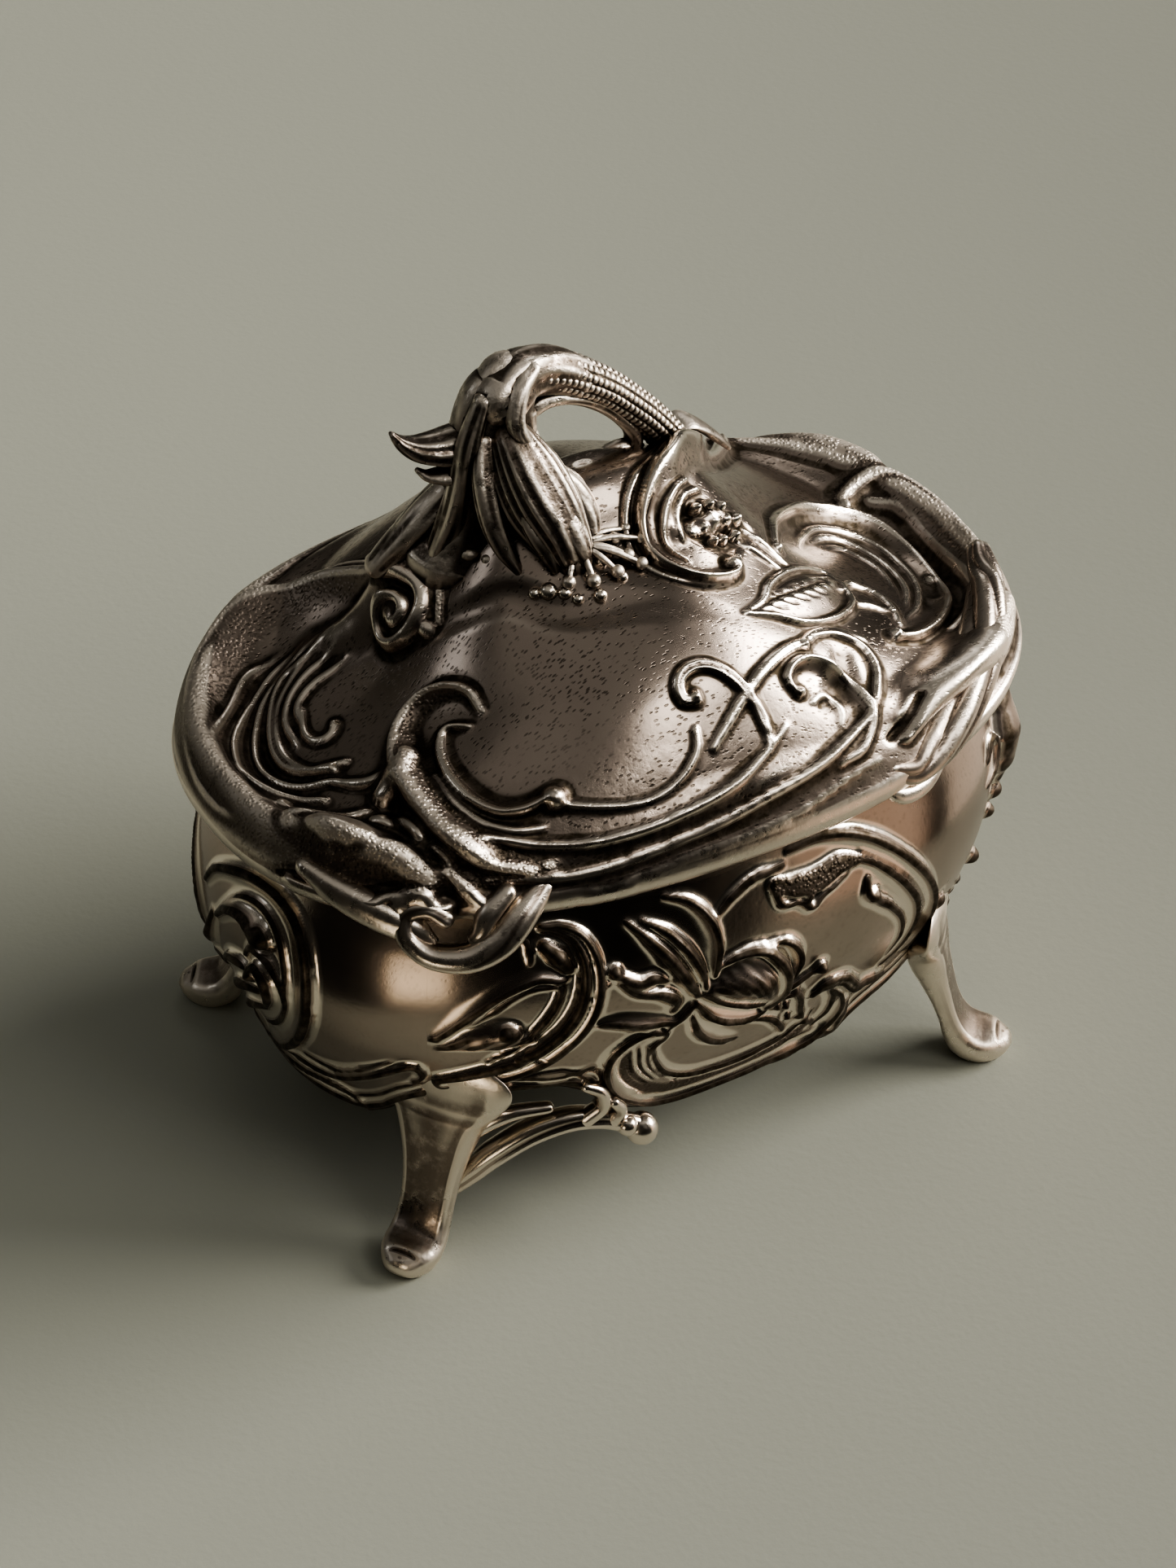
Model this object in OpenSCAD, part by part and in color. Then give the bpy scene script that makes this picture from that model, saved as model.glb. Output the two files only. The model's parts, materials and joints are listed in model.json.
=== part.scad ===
// Oval cast-metal trinket casket with a domed hinged lid, four cabriole legs
// and a flower-and-stem loop handle. Millimetres, +Z up, origin on the
// resting plane below the middle of the case. The front faces -Y.

/* [Case] */
// Length of the case at its widest, along X
case_len = 144; // [138:1:148]
// Depth of the case at its widest, along Y
case_dep = 98; // [94:1:100]
// Height of the case's top edge above the table
case_top = 76; // [74:1:78]
// Thickness of the cast walls
wall_t = 1.6; // [1.2:0.1:2.0]
// Squareness of the oval plan, where 2 is an ellipse
oval_n = 2.3; // [2.1:0.1:2.6]
// Polar angle of the four soldered corner seams
corner_deg = 34; // [32:1:36]

/* [Apron] */
// Height of the lowest point of the front and back aprons
apron_long_z = 20; // [18:0.5:24]
// Height of the lowest point of the end aprons
apron_end_z = 20.6; // [18:0.5:24]

/* [Lid] */
// Length of the lid over its rim
lid_len = 155; // [152:1:157]
// Depth of the lid over its rim
lid_dep = 102; // [100:0.5:103]
// Height of the crest of the dome
crest_z = 128; // [124:1:130]
// Thickness of the lid casting
lid_t = 2.0; // [1.6:0.1:2.4]
// Running gap between the lid and the case
lid_gap = 0.3; // [0.2:0.05:0.5]

/* [Handle] */
// Distance of the handle's loop behind the middle of the case
handle_y = 7; // [6:0.5:8]

/* [Hinge] */
// Width of the hinge over its knuckles
hinge_w = 34; // [30:1:38]
// Radius of the hinge pin
pin_r = 0.8; // [0.7:0.05:0.9]
// Outer radius of the knuckles
knuckle_r = 1.9; // [1.8:0.05:1.95]

/* [Lining] */
// Thickness of the satin lining on the walls and in the lid
lining_t = 0.9; // [0.6:0.1:1.2]
// Thickness of the padded floor
pad_t = 3.2; // [2:0.2:5]

/* [Hidden] */

plate_colour = [0.50, 0.46, 0.43];
brass_colour = [0.62, 0.50, 0.30];
satin_colour = [0.72, 0.62, 0.55];

// Side profile of the case: height, then share of the widest oval.
case_swell = [
  [18, 0.868], [22, 0.885], [26, 0.905], [30, 0.93], [35, 0.962], [40, 0.985],
  [46, 0.998], [53, 1], [60, 1], [66, 0.995], [71, 0.983], [78, 0.96]
];
case_steps = 9;

// Lower edge of the aprons: place from one corner at -1 to the other at 1,
// then height above the lowest point.
apron_long = [
  [-1, 14], [-0.86, 13], [-0.74, 14.4], [-0.6, 14.4], [-0.52, 12], [-0.45, 7.5],
  [-0.36, 2.8], [-0.26, 1], [-0.12, 0.2], [0.1, 0.4], [0.3, 1.4], [0.42, 1.2], [0.5, 0],
  [0.56, 2.4], [0.66, 4.2], [0.76, 5.2], [0.88, 9], [1, 14]
];
apron_end = [
  [-1, 13], [-0.84, 9], [-0.7, 4], [-0.58, 1.6], [-0.4, 0.9], [0, 0],
  [0.4, 0.9], [0.58, 1.6], [0.7, 4], [0.84, 9], [1, 13]
];
wall_steps_long = 32;
wall_steps_end = 20;

// Fall of the dome from its crest to its rim: share of the way out, share of
// the height. The long sides bulge and the ends are hollow.
dome_side = [
  [0, 0], [0.08, 0.02], [0.14, 0.075], [0.2, 0.15], [0.27, 0.2], [0.35, 0.225],
  [0.48, 0.27], [0.6, 0.335], [0.7, 0.415], [0.8, 0.53], [0.88, 0.635],
  [0.94, 0.74], [0.98, 0.84], [1, 0.905]
];
dome_end = [
  [0, 0], [0.08, 0.02], [0.16, 0.055], [0.25, 0.13], [0.33, 0.26], [0.4, 0.39],
  [0.48, 0.53], [0.56, 0.64], [0.65, 0.72], [0.75, 0.785], [0.85, 0.84],
  [0.93, 0.88], [1, 0.915]
];
dome_shares = [0.08, 0.14, 0.2, 0.27, 0.34, 0.42, 0.52, 0.62, 0.72, 0.8, 0.87, 0.93, 0.97, 1];
dome_segments = 60;
crest_x = -4;
crest_y = 2;
skirt_z = case_top + lid_gap;
skirt_proud = 0.4;
inner_share = 0.94;

// The dome stands a little fuller at its back right shoulder.
shoulder_at = [33, 18];
shoulder_rise = 3.2;
shoulder_spread = 15;

floor_z = 39;
floor_t = 1.2;
floor_top = floor_z + floor_t;

hinge_y = case_dep / 2 + 2;
hinge_z = case_top - 0.4;
leaf_t = 1.2;
knuckle_gap = 0.3;
knuckles = 5;
knuckle_pitch = hinge_w / knuckles;
bore_r = pin_r + 0.05;

// ---- Oval and profile functions ----

function oval_r(a, b, p) =
  pow(pow(abs(cos(p)) / a, oval_n) + pow(abs(sin(p)) / b, oval_n), -1 / oval_n);

function case_r(p, z) =
  let(f = lookup(z, case_swell)) oval_r(case_len / 2 * f, case_dep / 2 * f, p);

function case_point(p, z, inset) =
  let(r = case_r(p, z) - inset) [r * cos(p), r * sin(p), z];

function dome_fall(p, s) =
  let(w = pow(abs(sin(p)), 1.5)) w * lookup(s, dome_side) + (1 - w) * lookup(s, dome_end);

function shoulder(x, y) =
  shoulder_rise * exp(-(pow(x - shoulder_at[0], 2) + pow(y - shoulder_at[1], 2)) / pow(shoulder_spread, 2));

// A point of the dome, s of the way from the crest to the rim.
function dome_point(p, s, inset, drop) =
  let(
    r = oval_r(lid_len / 2, lid_dep / 2, p) - inset,
    x = crest_x + s * (r * cos(p) - crest_x),
    y = crest_y + s * (r * sin(p) - crest_y),
    z = crest_z - drop - dome_fall(p, s) * (crest_z - case_top)
  )
  [x, y, z + shoulder(x, y)];

function dome_ring(s, inset, drop) =
  [for (i = [0 : dome_segments - 1]) dome_point(360 * i / dome_segments, s, inset, drop)];

// A level ring of the lid's lower edge, which follows the top of the case.
function skirt_ring(inset) =
  [for (i = [0 : dome_segments - 1])
    let(p = 360 * i / dome_segments, r = case_r(p, case_top) - inset)
    [r * cos(p), r * sin(p), skirt_z]];

function reversed(list) = [for (i = [len(list) - 1 : -1 : 0]) list[i]];

function unit(v) = v / norm(v);

// Interpolates a list of rows evenly, t from 0 to 1.
function along(rows, t) =
  let(x = t * (len(rows) - 1), i = min(floor(x), len(rows) - 2), f = x - i,
      a = rows[max(i - 1, 0)], b = rows[i], c = rows[i + 1], d = rows[min(i + 2, len(rows) - 1)])
  0.5 * (2 * b + f * (c - a) + f * f * (2 * a - 5 * b + 4 * c - d)
    + f * f * f * (3 * b - a - 3 * c + d));

// ---- Building modules ----

// A closed skin over rings of equal length. Every ring runs anticlockwise
// about the direction of the stack.
module ring_stack(rings) {
  n = len(rings[0]);
  m = len(rings);
  points = [for (ring = rings) for (q = ring) q];
  sides = [
    for (i = [0 : m - 2]) for (j = [0 : n - 1])
      let(k = (j + 1) % n, a = i * n + j, b = i * n + k, c = (i + 1) * n + k, d = (i + 1) * n + j)
      each [[a, d, c], [a, c, b]]
  ];
  first = [[for (j = [0 : n - 1]) j]];
  last = [[for (j = [n - 1 : -1 : 0]) (m - 1) * n + j]];
  polyhedron(points = points, faces = concat(first, sides, last), convexity = 10);
}

// The same skin closed into a loop, with the last ring joined to the first.
module ring_loop(rings) {
  n = len(rings[0]);
  m = len(rings);
  points = [for (ring = rings) for (q = ring) q];
  sides = [
    for (i = [0 : m - 1]) for (j = [0 : n - 1])
      let(k = (j + 1) % n, e = (i + 1) % m, a = i * n + j, b = i * n + k, c = e * n + k, d = e * n + j)
      each [[a, d, c], [a, c, b]]
  ];
  polyhedron(points = points, faces = sides, convexity = 10);
}

// A tube along rows of [x, y, z, half size across, half size along ref].
module swept(rows, ref, steps, sides) {
  at = [for (i = [0 : steps]) along(rows, i / steps)];
  ring_stack([
    for (i = [0 : steps])
      let(
        a = at[max(i - 1, 0)], b = at[min(i + 1, steps)], q = at[i],
        t = unit([b[0] - a[0], b[1] - a[1], b[2] - a[2]]),
        across = unit(cross(ref, t)), side = cross(t, across)
      )
      [for (j = [0 : sides - 1])
        let(g = 360 * j / sides)
        [q[0], q[1], q[2]] + across * q[3] * cos(g) + side * q[4] * sin(g)]
  ]);
}

// One cast wall between two polar angles, inset from the case's outside.
module case_wall(from_deg, to_deg, edge, edge_z, steps) {
  color(plate_colour)
    ring_stack([
      for (i = [0 : steps])
        let(
          u = -1 + 2 * i / steps,
          p = from_deg + (to_deg - from_deg) * i / steps,
          low = edge_z + lookup(u, edge),
          zs = [for (k = [0 : case_steps]) low + (case_top - low) * k / case_steps]
        )
        concat(
          [for (z = zs) case_point(p, z, wall_t)],
          [for (z = reversed(zs)) case_point(p, z, 0)]
        )
    ]);
}

module long_wall() {
  case_wall(corner_deg - 180, -corner_deg, apron_long, apron_long_z, wall_steps_long);
}

module end_wall() {
  case_wall(-corner_deg, corner_deg, apron_end, apron_end_z, wall_steps_end);
}

// ---- Sub-parts of the case ----

module front_wall() {
  long_wall();
}

module back_wall() {
  rotate([0, 0, 180]) long_wall();
}

module right_wall() {
  end_wall();
}

module left_wall() {
  rotate([0, 0, 180]) end_wall();
}

// The base is soldered in, so its edge bites slightly into the walls.
module base_plate() {
  bite = 0.3;
  color(plate_colour)
    translate([0, 0, floor_z])
      linear_extrude(floor_t)
        polygon([for (p = [0 : 6 : 354])
          let(r = case_r(p, floor_z) - wall_t + bite) [r * cos(p), r * sin(p)]]);
}

// A cabriole leg, broad where it meets the corner, with a toe that turns out.
// Rows: distance out, unused, height, half thickness, half width.
module leg() {
  seat_r = 59.6;
  leg_rows = [
    [-0.2, 0, 39.5, 1.9, 12.5], [0, 0, 34, 2.1, 9.6], [0.6, 0, 27, 2.3, 6.9],
    [1.8, 0, 19, 2.5, 5.5], [3.6, 0, 11.5, 2.7, 5], [6.2, 0, 5.1, 2.8, 5],
    [9.6, 0, 2.3, 2.7, 4.7], [13.2, 0, 2.5, 2.1, 3.4]
  ];
  color(plate_colour)
    rotate([0, 0, corner_deg])
      translate([seat_r, 0, 0])
        difference() {
          swept(reversed(leg_rows), [0, 1, 0], 16, 16);
          translate([-20, -20, -20]) cube([40, 40, 20]);
        }
}

module leg_back_right() {
  leg();
}

module leg_back_left() {
  mirror([1, 0, 0]) leg();
}

module leg_front_right() {
  mirror([0, 1, 0]) leg();
}

module leg_front_left() {
  mirror([0, 1, 0]) mirror([1, 0, 0]) leg();
}

// An openwork scroll that springs from a leg and ends in a free knob.
module apron_scroll() {
  rows = [
    [-48.5, -36.5, 13, 1.5, 2.0], [-43, -39.2, 19.8, 1.7, 2.1], [-36.4, -41.4, 25, 1.7, 2.0],
    [-29, -43.4, 27.2, 1.7, 1.9], [-23, -44.6, 25.8, 1.7, 1.8], [-19, -45.3, 23.4, 1.9, 1.9],
    [-16.6, -45.8, 21.3, 2.5, 2.5], [-14.6, -46.2, 19.4, 1.2, 1.2]
  ];
  color(plate_colour) swept(rows, [0, 1, 0], 18, 12);
}

module apron_scroll_front() {
  apron_scroll();
}

module apron_scroll_back() {
  rotate([0, 0, 180]) apron_scroll();
}

module wall_lining() {
  low = floor_top + 0.2;
  high = case_top - 1;
  steps = 6;
  turn = 48;
  near = wall_t + 0.3;
  zs = [for (k = [0 : steps]) low + (high - low) * k / steps];
  color(satin_colour)
    ring_loop([
      for (i = [0 : turn - 1])
        let(p = 360 * i / turn)
        concat(
          [for (z = zs) case_point(p, z, near + lining_t)],
          [for (z = reversed(zs)) case_point(p, z, near)]
        )
    ]);
}

module floor_pad() {
  inset = wall_t + lining_t + 0.5;
  round_over = 1;
  color(satin_colour)
    ring_stack([
      for (row = [[round_over, 0.1], [0, 0.9], [0, pad_t - 0.9], [round_over * 1.6, pad_t]])
        [for (i = [0 : 47])
          let(p = 360 * i / 48, r = case_r(p, floor_top) - inset - row[0])
          [r * cos(p), r * sin(p), floor_top + row[1]]]
    ]);
}

// ---- Hinge ----

module hinge_bore() {
  translate([-hinge_w, hinge_y, hinge_z]) rotate([0, 90, 0]) cylinder(h = 2 * hinge_w, r = bore_r, $fn = 48);
}

module knuckle(index) {
  x = -hinge_w / 2 + index * knuckle_pitch + knuckle_gap / 2;
  translate([x, hinge_y, hinge_z])
    rotate([0, 90, 0])
      cylinder(h = knuckle_pitch - knuckle_gap, r = knuckle_r, $fn = 48);
}

module knuckle_web(index, y0, y1, z0, z1) {
  x = -hinge_w / 2 + index * knuckle_pitch + knuckle_gap / 2;
  translate([x, y0, z0]) cube([knuckle_pitch - knuckle_gap, y1 - y0, z1 - z0]);
}

body_leaf_y = case_dep / 2 - 0.8;
body_leaf_low = 61;
body_leaf_high = hinge_z - 1.6;
lid_leaf_y = lid_dep / 2 - 0.5;
lid_leaf_low = hinge_z + 2.3;
lid_leaf_high = lid_leaf_low + 4.8;

module body_rivet_places() {
  for (x = [-12, 12]) for (z = [64.5, 69.5]) translate([x, body_leaf_y, z]) children();
}

module lid_rivet_places() {
  for (x = [-10.2, 0, 10.2]) translate([x, lid_leaf_y, lid_leaf_low + 2.9]) children();
}

module rivet_hole(r) {
  rotate([-90, 0, 0]) translate([0, 0, -2]) cylinder(h = 6, r = r, $fn = 24);
}

module rivet(shank) {
  rotate([-90, 0, 0]) {
    translate([0, 0, -shank]) cylinder(h = shank + leaf_t, r = 0.8, $fn = 24);
    translate([0, 0, leaf_t]) cylinder(h = 0.5, r1 = 1.5, r2 = 0.9, $fn = 24);
  }
}

module hinge_body_leaf() {
  color(brass_colour)
    difference() {
      union() {
        translate([-hinge_w / 2, body_leaf_y, body_leaf_low])
          cube([hinge_w, leaf_t, body_leaf_high - body_leaf_low]);
        for (k = [0, 2, 4]) {
          knuckle(k);
          knuckle_web(k, body_leaf_y, hinge_y, body_leaf_high - 1.5, hinge_z - 0.9);
        }
      }
      hinge_bore();
      body_rivet_places() rivet_hole(0.8);
    }
}

module hinge_lid_leaf() {
  color(brass_colour)
    difference() {
      union() {
        translate([-hinge_w / 2, lid_leaf_y, lid_leaf_low])
          cube([hinge_w, leaf_t, lid_leaf_high - lid_leaf_low]);
        for (k = [1, 3]) {
          knuckle(k);
          knuckle_web(k, lid_leaf_y, lid_leaf_y + leaf_t, hinge_z + 0.9, lid_leaf_low + 1);
        }
      }
      hinge_bore();
      lid_rivet_places() rivet_hole(0.8);
    }
}

module hinge_pin() {
  head_t = 0.7;
  color(brass_colour)
    translate([-hinge_w / 2 - head_t, hinge_y, hinge_z])
      rotate([0, 90, 0]) {
        cylinder(h = hinge_w + 2 * head_t, r = pin_r, $fn = 48);
        cylinder(h = head_t, r1 = 0.9, r2 = 1.4, $fn = 48);
        translate([0, 0, hinge_w + head_t]) cylinder(h = head_t, r1 = 1.4, r2 = 0.9, $fn = 48);
      }
}

module hinge_rivets_body() {
  color(brass_colour) body_rivet_places() rivet(1.4);
}

module hinge_rivets_lid() {
  color(brass_colour) lid_rivet_places() rivet(1.4);
}

// ---- Sub-parts of the lid ----

module lid_shell() {
  color(plate_colour)
    ring_stack(concat(
      [for (s = dome_shares) if (s < inner_share) dome_ring(s, lid_t, lid_t)],
      [skirt_ring(wall_t), skirt_ring(-skirt_proud)],
      [for (s = reversed(dome_shares)) dome_ring(s, 0, 0)]
    ));
}

// The lining hangs clear of the roots of the handle under the crest.
module lid_lining() {
  gap = 0.25;
  sag = 9.5;
  shares = [for (s = dome_shares) if (s < 0.9) s];
  near = lid_t + gap;
  far = near + lining_t;
  color(satin_colour)
    ring_stack(concat(
      [for (s = shares) dome_ring(s, far, far + sag * pow(1 - s, 2))],
      [for (s = reversed(shares)) dome_ring(s, near, near + sag * pow(1 - s, 2))]
    ));
}

// ---- Handle ----

// The trunk rises on the left, turns over and comes down as a beaded stem.
module handle_stem() {
  rows = [
    [-19.5, handle_y, 117.6, 7.6, 6.8], [-18.6, handle_y, 126, 6.9, 6.4],
    [-18, handle_y, 134, 6.6, 6.2], [-16.8, handle_y, 141.5, 6.2, 5.6],
    [-13.6, handle_y, 146.4, 5.2, 4.9], [-8, handle_y, 145.6, 4.2, 4.2],
    [-1.5, handle_y, 141, 3.5, 3.7], [4.5, handle_y, 135, 3.1, 3.3],
    [10.4, handle_y, 128.8, 3.0, 3.2], [15.2, handle_y, 123.4, 3.1, 3.3],
    [18.6, handle_y, 118.2, 3.6, 3.8]
  ];
  color(plate_colour) swept(rows, [0, 1, 0], 30, 18);
}

// A bell-shaped bloom that hangs over the front of the trunk.
module handle_flower() {
  rows = [
    [-17, 3.5, 149.4, 2.0, 2.4], [-17, 0.5, 145, 4.0, 4.6], [-15.6, -2.2, 138, 4.6, 5.6],
    [-13.4, -5, 131, 5.2, 6.4], [-11.4, -7.6, 125.8, 6.0, 7.2], [-10.2, -9.2, 122.6, 6.8, 7.8]
  ];
  color(plate_colour) swept(rows, [1, 0, 0], 14, 16);
}

// Filaments that spill from the bloom and end in beads.
module flower_stamens() {
  bead_r = 1.1;
  mouth = [-8.5, -10.5, 121.2];
  tips = [[3.5, -8.5, 120.6], [1.5, -12.5, 119.4], [-2.5, -15, 118.6], [-7.5, -16.5, 118.2]];
  color(plate_colour)
    for (tip = tips) {
      rise = [(mouth[0] + tip[0]) / 2, (mouth[1] + tip[1]) / 2, mouth[2] + 0.6];
      swept([concat(mouth, [0.7, 0.7]), concat(rise, [0.6, 0.6]), concat(tip, [0.5, 0.5])],
        [0, 0, 1], 6, 8);
      translate(tip) sphere(r = bead_r, $fn = 20);
    }
}

// A pointed petal that stands out to the left of the trunk.
module handle_petal() {
  rows = [
    [-20, handle_y, 136, 3.4, 3.2], [-25.5, handle_y, 136.4, 3.0, 3.6],
    [-30.5, handle_y, 136.8, 2.4, 3.2], [-34.6, handle_y, 138.4, 1.6, 2.2],
    [-37.4, handle_y, 141.4, 0.5, 0.7]
  ];
  color(plate_colour) swept(rows, [0, 1, 0], 12, 14);
}

// A small leaf at the foot of the beaded stem.
module handle_leaf() {
  rows = [
    [17.4, handle_y + 4.4, 118.8, 1.2, 2.2], [19.6, handle_y + 4.4, 121.4, 1.2, 3.4],
    [23, handle_y + 3.6, 121.2, 1.1, 3.0], [27, handle_y + 3.2, 117.4, 0.9, 1.8],
    [30, handle_y + 2.6, 113.4, 0.5, 0.7]
  ];
  color(plate_colour) swept(rows, [0, 1, 0], 12, 12);
}

// Two studs that pass through the lid and hold the handle.
module handle_studs() {
  stud_r = 1.4;
  stud_low = crest_z - 14.6;
  color(brass_colour)
    for (x = [-19.4, 18.2])
      translate([x, handle_y, stud_low]) {
        cylinder(h = 8, r = stud_r, $fn = 32);
        cylinder(h = 1, r = 2.4, $fn = 32);
      }
}

front_wall();
right_wall();
back_wall();
left_wall();
base_plate();
leg_front_left();
leg_front_right();
leg_back_left();
leg_back_right();
apron_scroll_front();
apron_scroll_back();
hinge_body_leaf();
hinge_pin();
hinge_rivets_body();
wall_lining();
floor_pad();
lid_shell();
lid_lining();
hinge_lid_leaf();
hinge_rivets_lid();
handle_stem();
handle_flower();
flower_stamens();
handle_petal();
handle_leaf();
handle_studs();
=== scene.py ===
"""Looks of an oval cast-metal trinket casket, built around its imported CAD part.

Millimetres in the shape code, metres in Blender. The front faces -Y, +Z is up.
"""
import json
import math

import bpy
import numpy as np
from mathutils import Matrix, Vector
from mathutils.bvhtree import BVHTree

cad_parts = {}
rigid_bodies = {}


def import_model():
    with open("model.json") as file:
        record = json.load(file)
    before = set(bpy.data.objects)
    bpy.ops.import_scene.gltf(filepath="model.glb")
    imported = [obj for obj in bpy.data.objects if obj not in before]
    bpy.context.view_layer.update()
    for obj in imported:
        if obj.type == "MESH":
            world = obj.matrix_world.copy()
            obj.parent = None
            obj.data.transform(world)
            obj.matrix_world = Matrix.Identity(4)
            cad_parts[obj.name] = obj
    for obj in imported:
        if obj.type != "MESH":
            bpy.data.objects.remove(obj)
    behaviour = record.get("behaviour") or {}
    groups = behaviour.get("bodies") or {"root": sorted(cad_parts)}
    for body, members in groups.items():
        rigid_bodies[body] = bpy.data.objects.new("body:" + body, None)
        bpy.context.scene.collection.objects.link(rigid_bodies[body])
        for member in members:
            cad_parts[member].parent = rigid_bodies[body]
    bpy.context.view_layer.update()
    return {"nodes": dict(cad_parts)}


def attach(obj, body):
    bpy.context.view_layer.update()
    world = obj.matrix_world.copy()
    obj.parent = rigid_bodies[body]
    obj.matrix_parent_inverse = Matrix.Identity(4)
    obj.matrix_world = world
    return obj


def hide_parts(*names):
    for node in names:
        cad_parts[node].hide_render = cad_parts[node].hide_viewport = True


MM = 0.001
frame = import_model()

# ---- The case's and lid's surfaces, as in the CAD source ----

OVAL_N = 2.3
CASE_A, CASE_B, CASE_TOP = 72.0, 49.0, 76.0
WALL_T = 1.6
CORNER = math.radians(34)  # the seams between walls, and the legs below them
LID_A, LID_B, CREST_Z = 77.5, 51.0, 128.0
LID_T = 2.0
CREST = (-4.0, 2.0)
SKIRT_Z = CASE_TOP + 0.3
FLOOR_TOP = 40.2

LID_TURN, LID_ROWS = ((660, 215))  # grid of the lid's ornament
CREST_SHARE = .02  # where the lid's grid starts, as a share of the way to the rim
CREST_FADE = .08  # and how far the ornament takes to rise to its full height
# Where the floor pad is sewn down.
TUFTS = [(x, y) for x in (-44, -22, 0, 22, 44) for y in (-20, 0, 20) if abs(x) + abs(y) < 60]

# The case's girth at each height, as a share of its widest.
SWELL = np.array([
    (18, .868), (22, .885), (26, .905), (30, .93), (35, .962), (40, .985), (46, .998),
    (53, 1), (60, 1), (66, .995), (71, .983), (78, .96)])
# How far the dome has fallen at each share of the way from crest to rim, across and along the lid.
DOME_SIDE = np.array([
    (0, 0), (.08, .02), (.14, .075), (.2, .15), (.27, .2), (.35, .225), (.48, .27), (.6, .335),
    (.7, .415), (.8, .53), (.88, .635), (.94, .74), (.98, .84), (1, .905)])
DOME_END = np.array([
    (0, 0), (.08, .02), (.16, .055), (.25, .13), (.33, .26), (.4, .39), (.48, .53), (.56, .64),
    (.65, .72), (.75, .785), (.85, .84), (.93, .88), (1, .915)])


def smooth_lookup(rows, x):
    """Monotone cubic through rows of (x, y)."""
    xs, ys = rows[:, 0], rows[:, 1]
    h, d = np.diff(xs), np.diff(ys) / np.diff(xs)
    m = np.concatenate([d[:1], np.zeros(len(d) - 1), d[-1:]])
    for i in range(1, len(xs) - 1):
        if d[i - 1] * d[i] > 0:
            w1, w2 = 2 * h[i] + h[i - 1], h[i] + 2 * h[i - 1]
            m[i] = (w1 + w2) / (w1 / d[i - 1] + w2 / d[i])
    x = np.clip(np.asarray(x, float), xs[0], xs[-1])
    i = np.clip(np.searchsorted(xs, x) - 1, 0, len(xs) - 2)
    g, t = h[i], (x - xs[i]) / h[i]
    return ((2 * t**3 - 3 * t**2 + 1) * ys[i] + (t**3 - 2 * t**2 + t) * g * m[i]
            + (-2 * t**3 + 3 * t**2) * ys[i + 1] + (t**3 - t**2) * g * m[i + 1])


def oval_r(a, b, p):
    """Polar radius of a rounded oval with half axes a and b, where p is its own angle."""
    return (np.abs(np.cos(p) / a)**OVAL_N + np.abs(np.sin(p) / b)**OVAL_N)**(-1 / OVAL_N)


def oval_xy(a, b, p):
    """Plan points of a rounded oval."""
    r = oval_r(a, b, p)
    return np.stack([r * np.cos(p), r * np.sin(p)], -1)


def case_point(p, z, inset=0.0):
    """Points on the case's outside at angle p and height z, or inset into its wall."""
    f = smooth_lookup(SWELL, z)
    r = oval_r(CASE_A * f, CASE_B * f, p) - inset
    return np.stack([r * np.cos(p), r * np.sin(p), z + 0 * p], -1)


def shoulder(x, y):
    """The low swelling of the dome at the back right."""
    return 3.2 * np.exp(-((x - 33)**2 + (y - 18)**2) / 15.0**2)


def dome_point(p, s, inset=0.0, drop=0.0):
    """Points on the dome: angle p, and share s of the way from the crest to the rim."""
    r = oval_r(LID_A, LID_B, p) - inset
    x = CREST[0] + s * (r * np.cos(p) - CREST[0])
    y = CREST[1] + s * (r * np.sin(p) - CREST[1])
    w = np.abs(np.sin(p))**1.5
    fall = w * smooth_lookup(DOME_SIDE, s) + (1 - w) * smooth_lookup(DOME_END, s)
    z = CREST_Z - drop - fall * (CREST_Z - CASE_TOP)
    return np.stack([x, y, z + shoulder(x, y)], -1)


RIM = oval_xy(LID_A, LID_B, np.linspace(-math.pi, math.pi, 1441))


def on_dome(xy):
    """Plan points (x, y) laid on the dome."""
    xy = np.atleast_2d(np.asarray(xy, float))[:, :2]
    rel = RIM - np.array(CREST)
    turn = np.arctan2(rel[:, 1], rel[:, 0])
    order = np.argsort(turn)
    reach = np.linalg.norm(rel, axis=1)
    d = xy - np.array(CREST)
    a = np.arctan2(d[:, 1], d[:, 0])
    full = np.interp(a, turn[order], reach[order], period=2 * math.pi)
    p = np.arctan2(CREST[1] + full * np.sin(a), CREST[0] + full * np.cos(a))
    s = np.clip(np.linalg.norm(d, axis=1) / full, 0, 1)
    return dome_point(p, s)


def run_along(points):
    """Distance from the first point along the rest."""
    return np.concatenate([[0], np.cumsum(np.linalg.norm(np.diff(points, axis=0), axis=1))])


# RUN is the distance along the case's widest oval at each polar angle TURN, 0 in the middle of the front.
TURN = np.linspace(-2 * math.pi, math.pi, 4321)
RUN = run_along(oval_xy(CASE_A, CASE_B, TURN))
RUN -= np.interp(-math.pi / 2, TURN, RUN)


def on_wall(sz, middle=0.0):
    """Points (distance along the wall, height) laid on the case's outside."""
    sz = np.atleast_2d(np.asarray(sz, float))
    return case_point(np.interp(sz[:, 0] + middle, RUN, TURN), sz[:, 1])


# ---- Curves, meshes and relief ----

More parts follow.
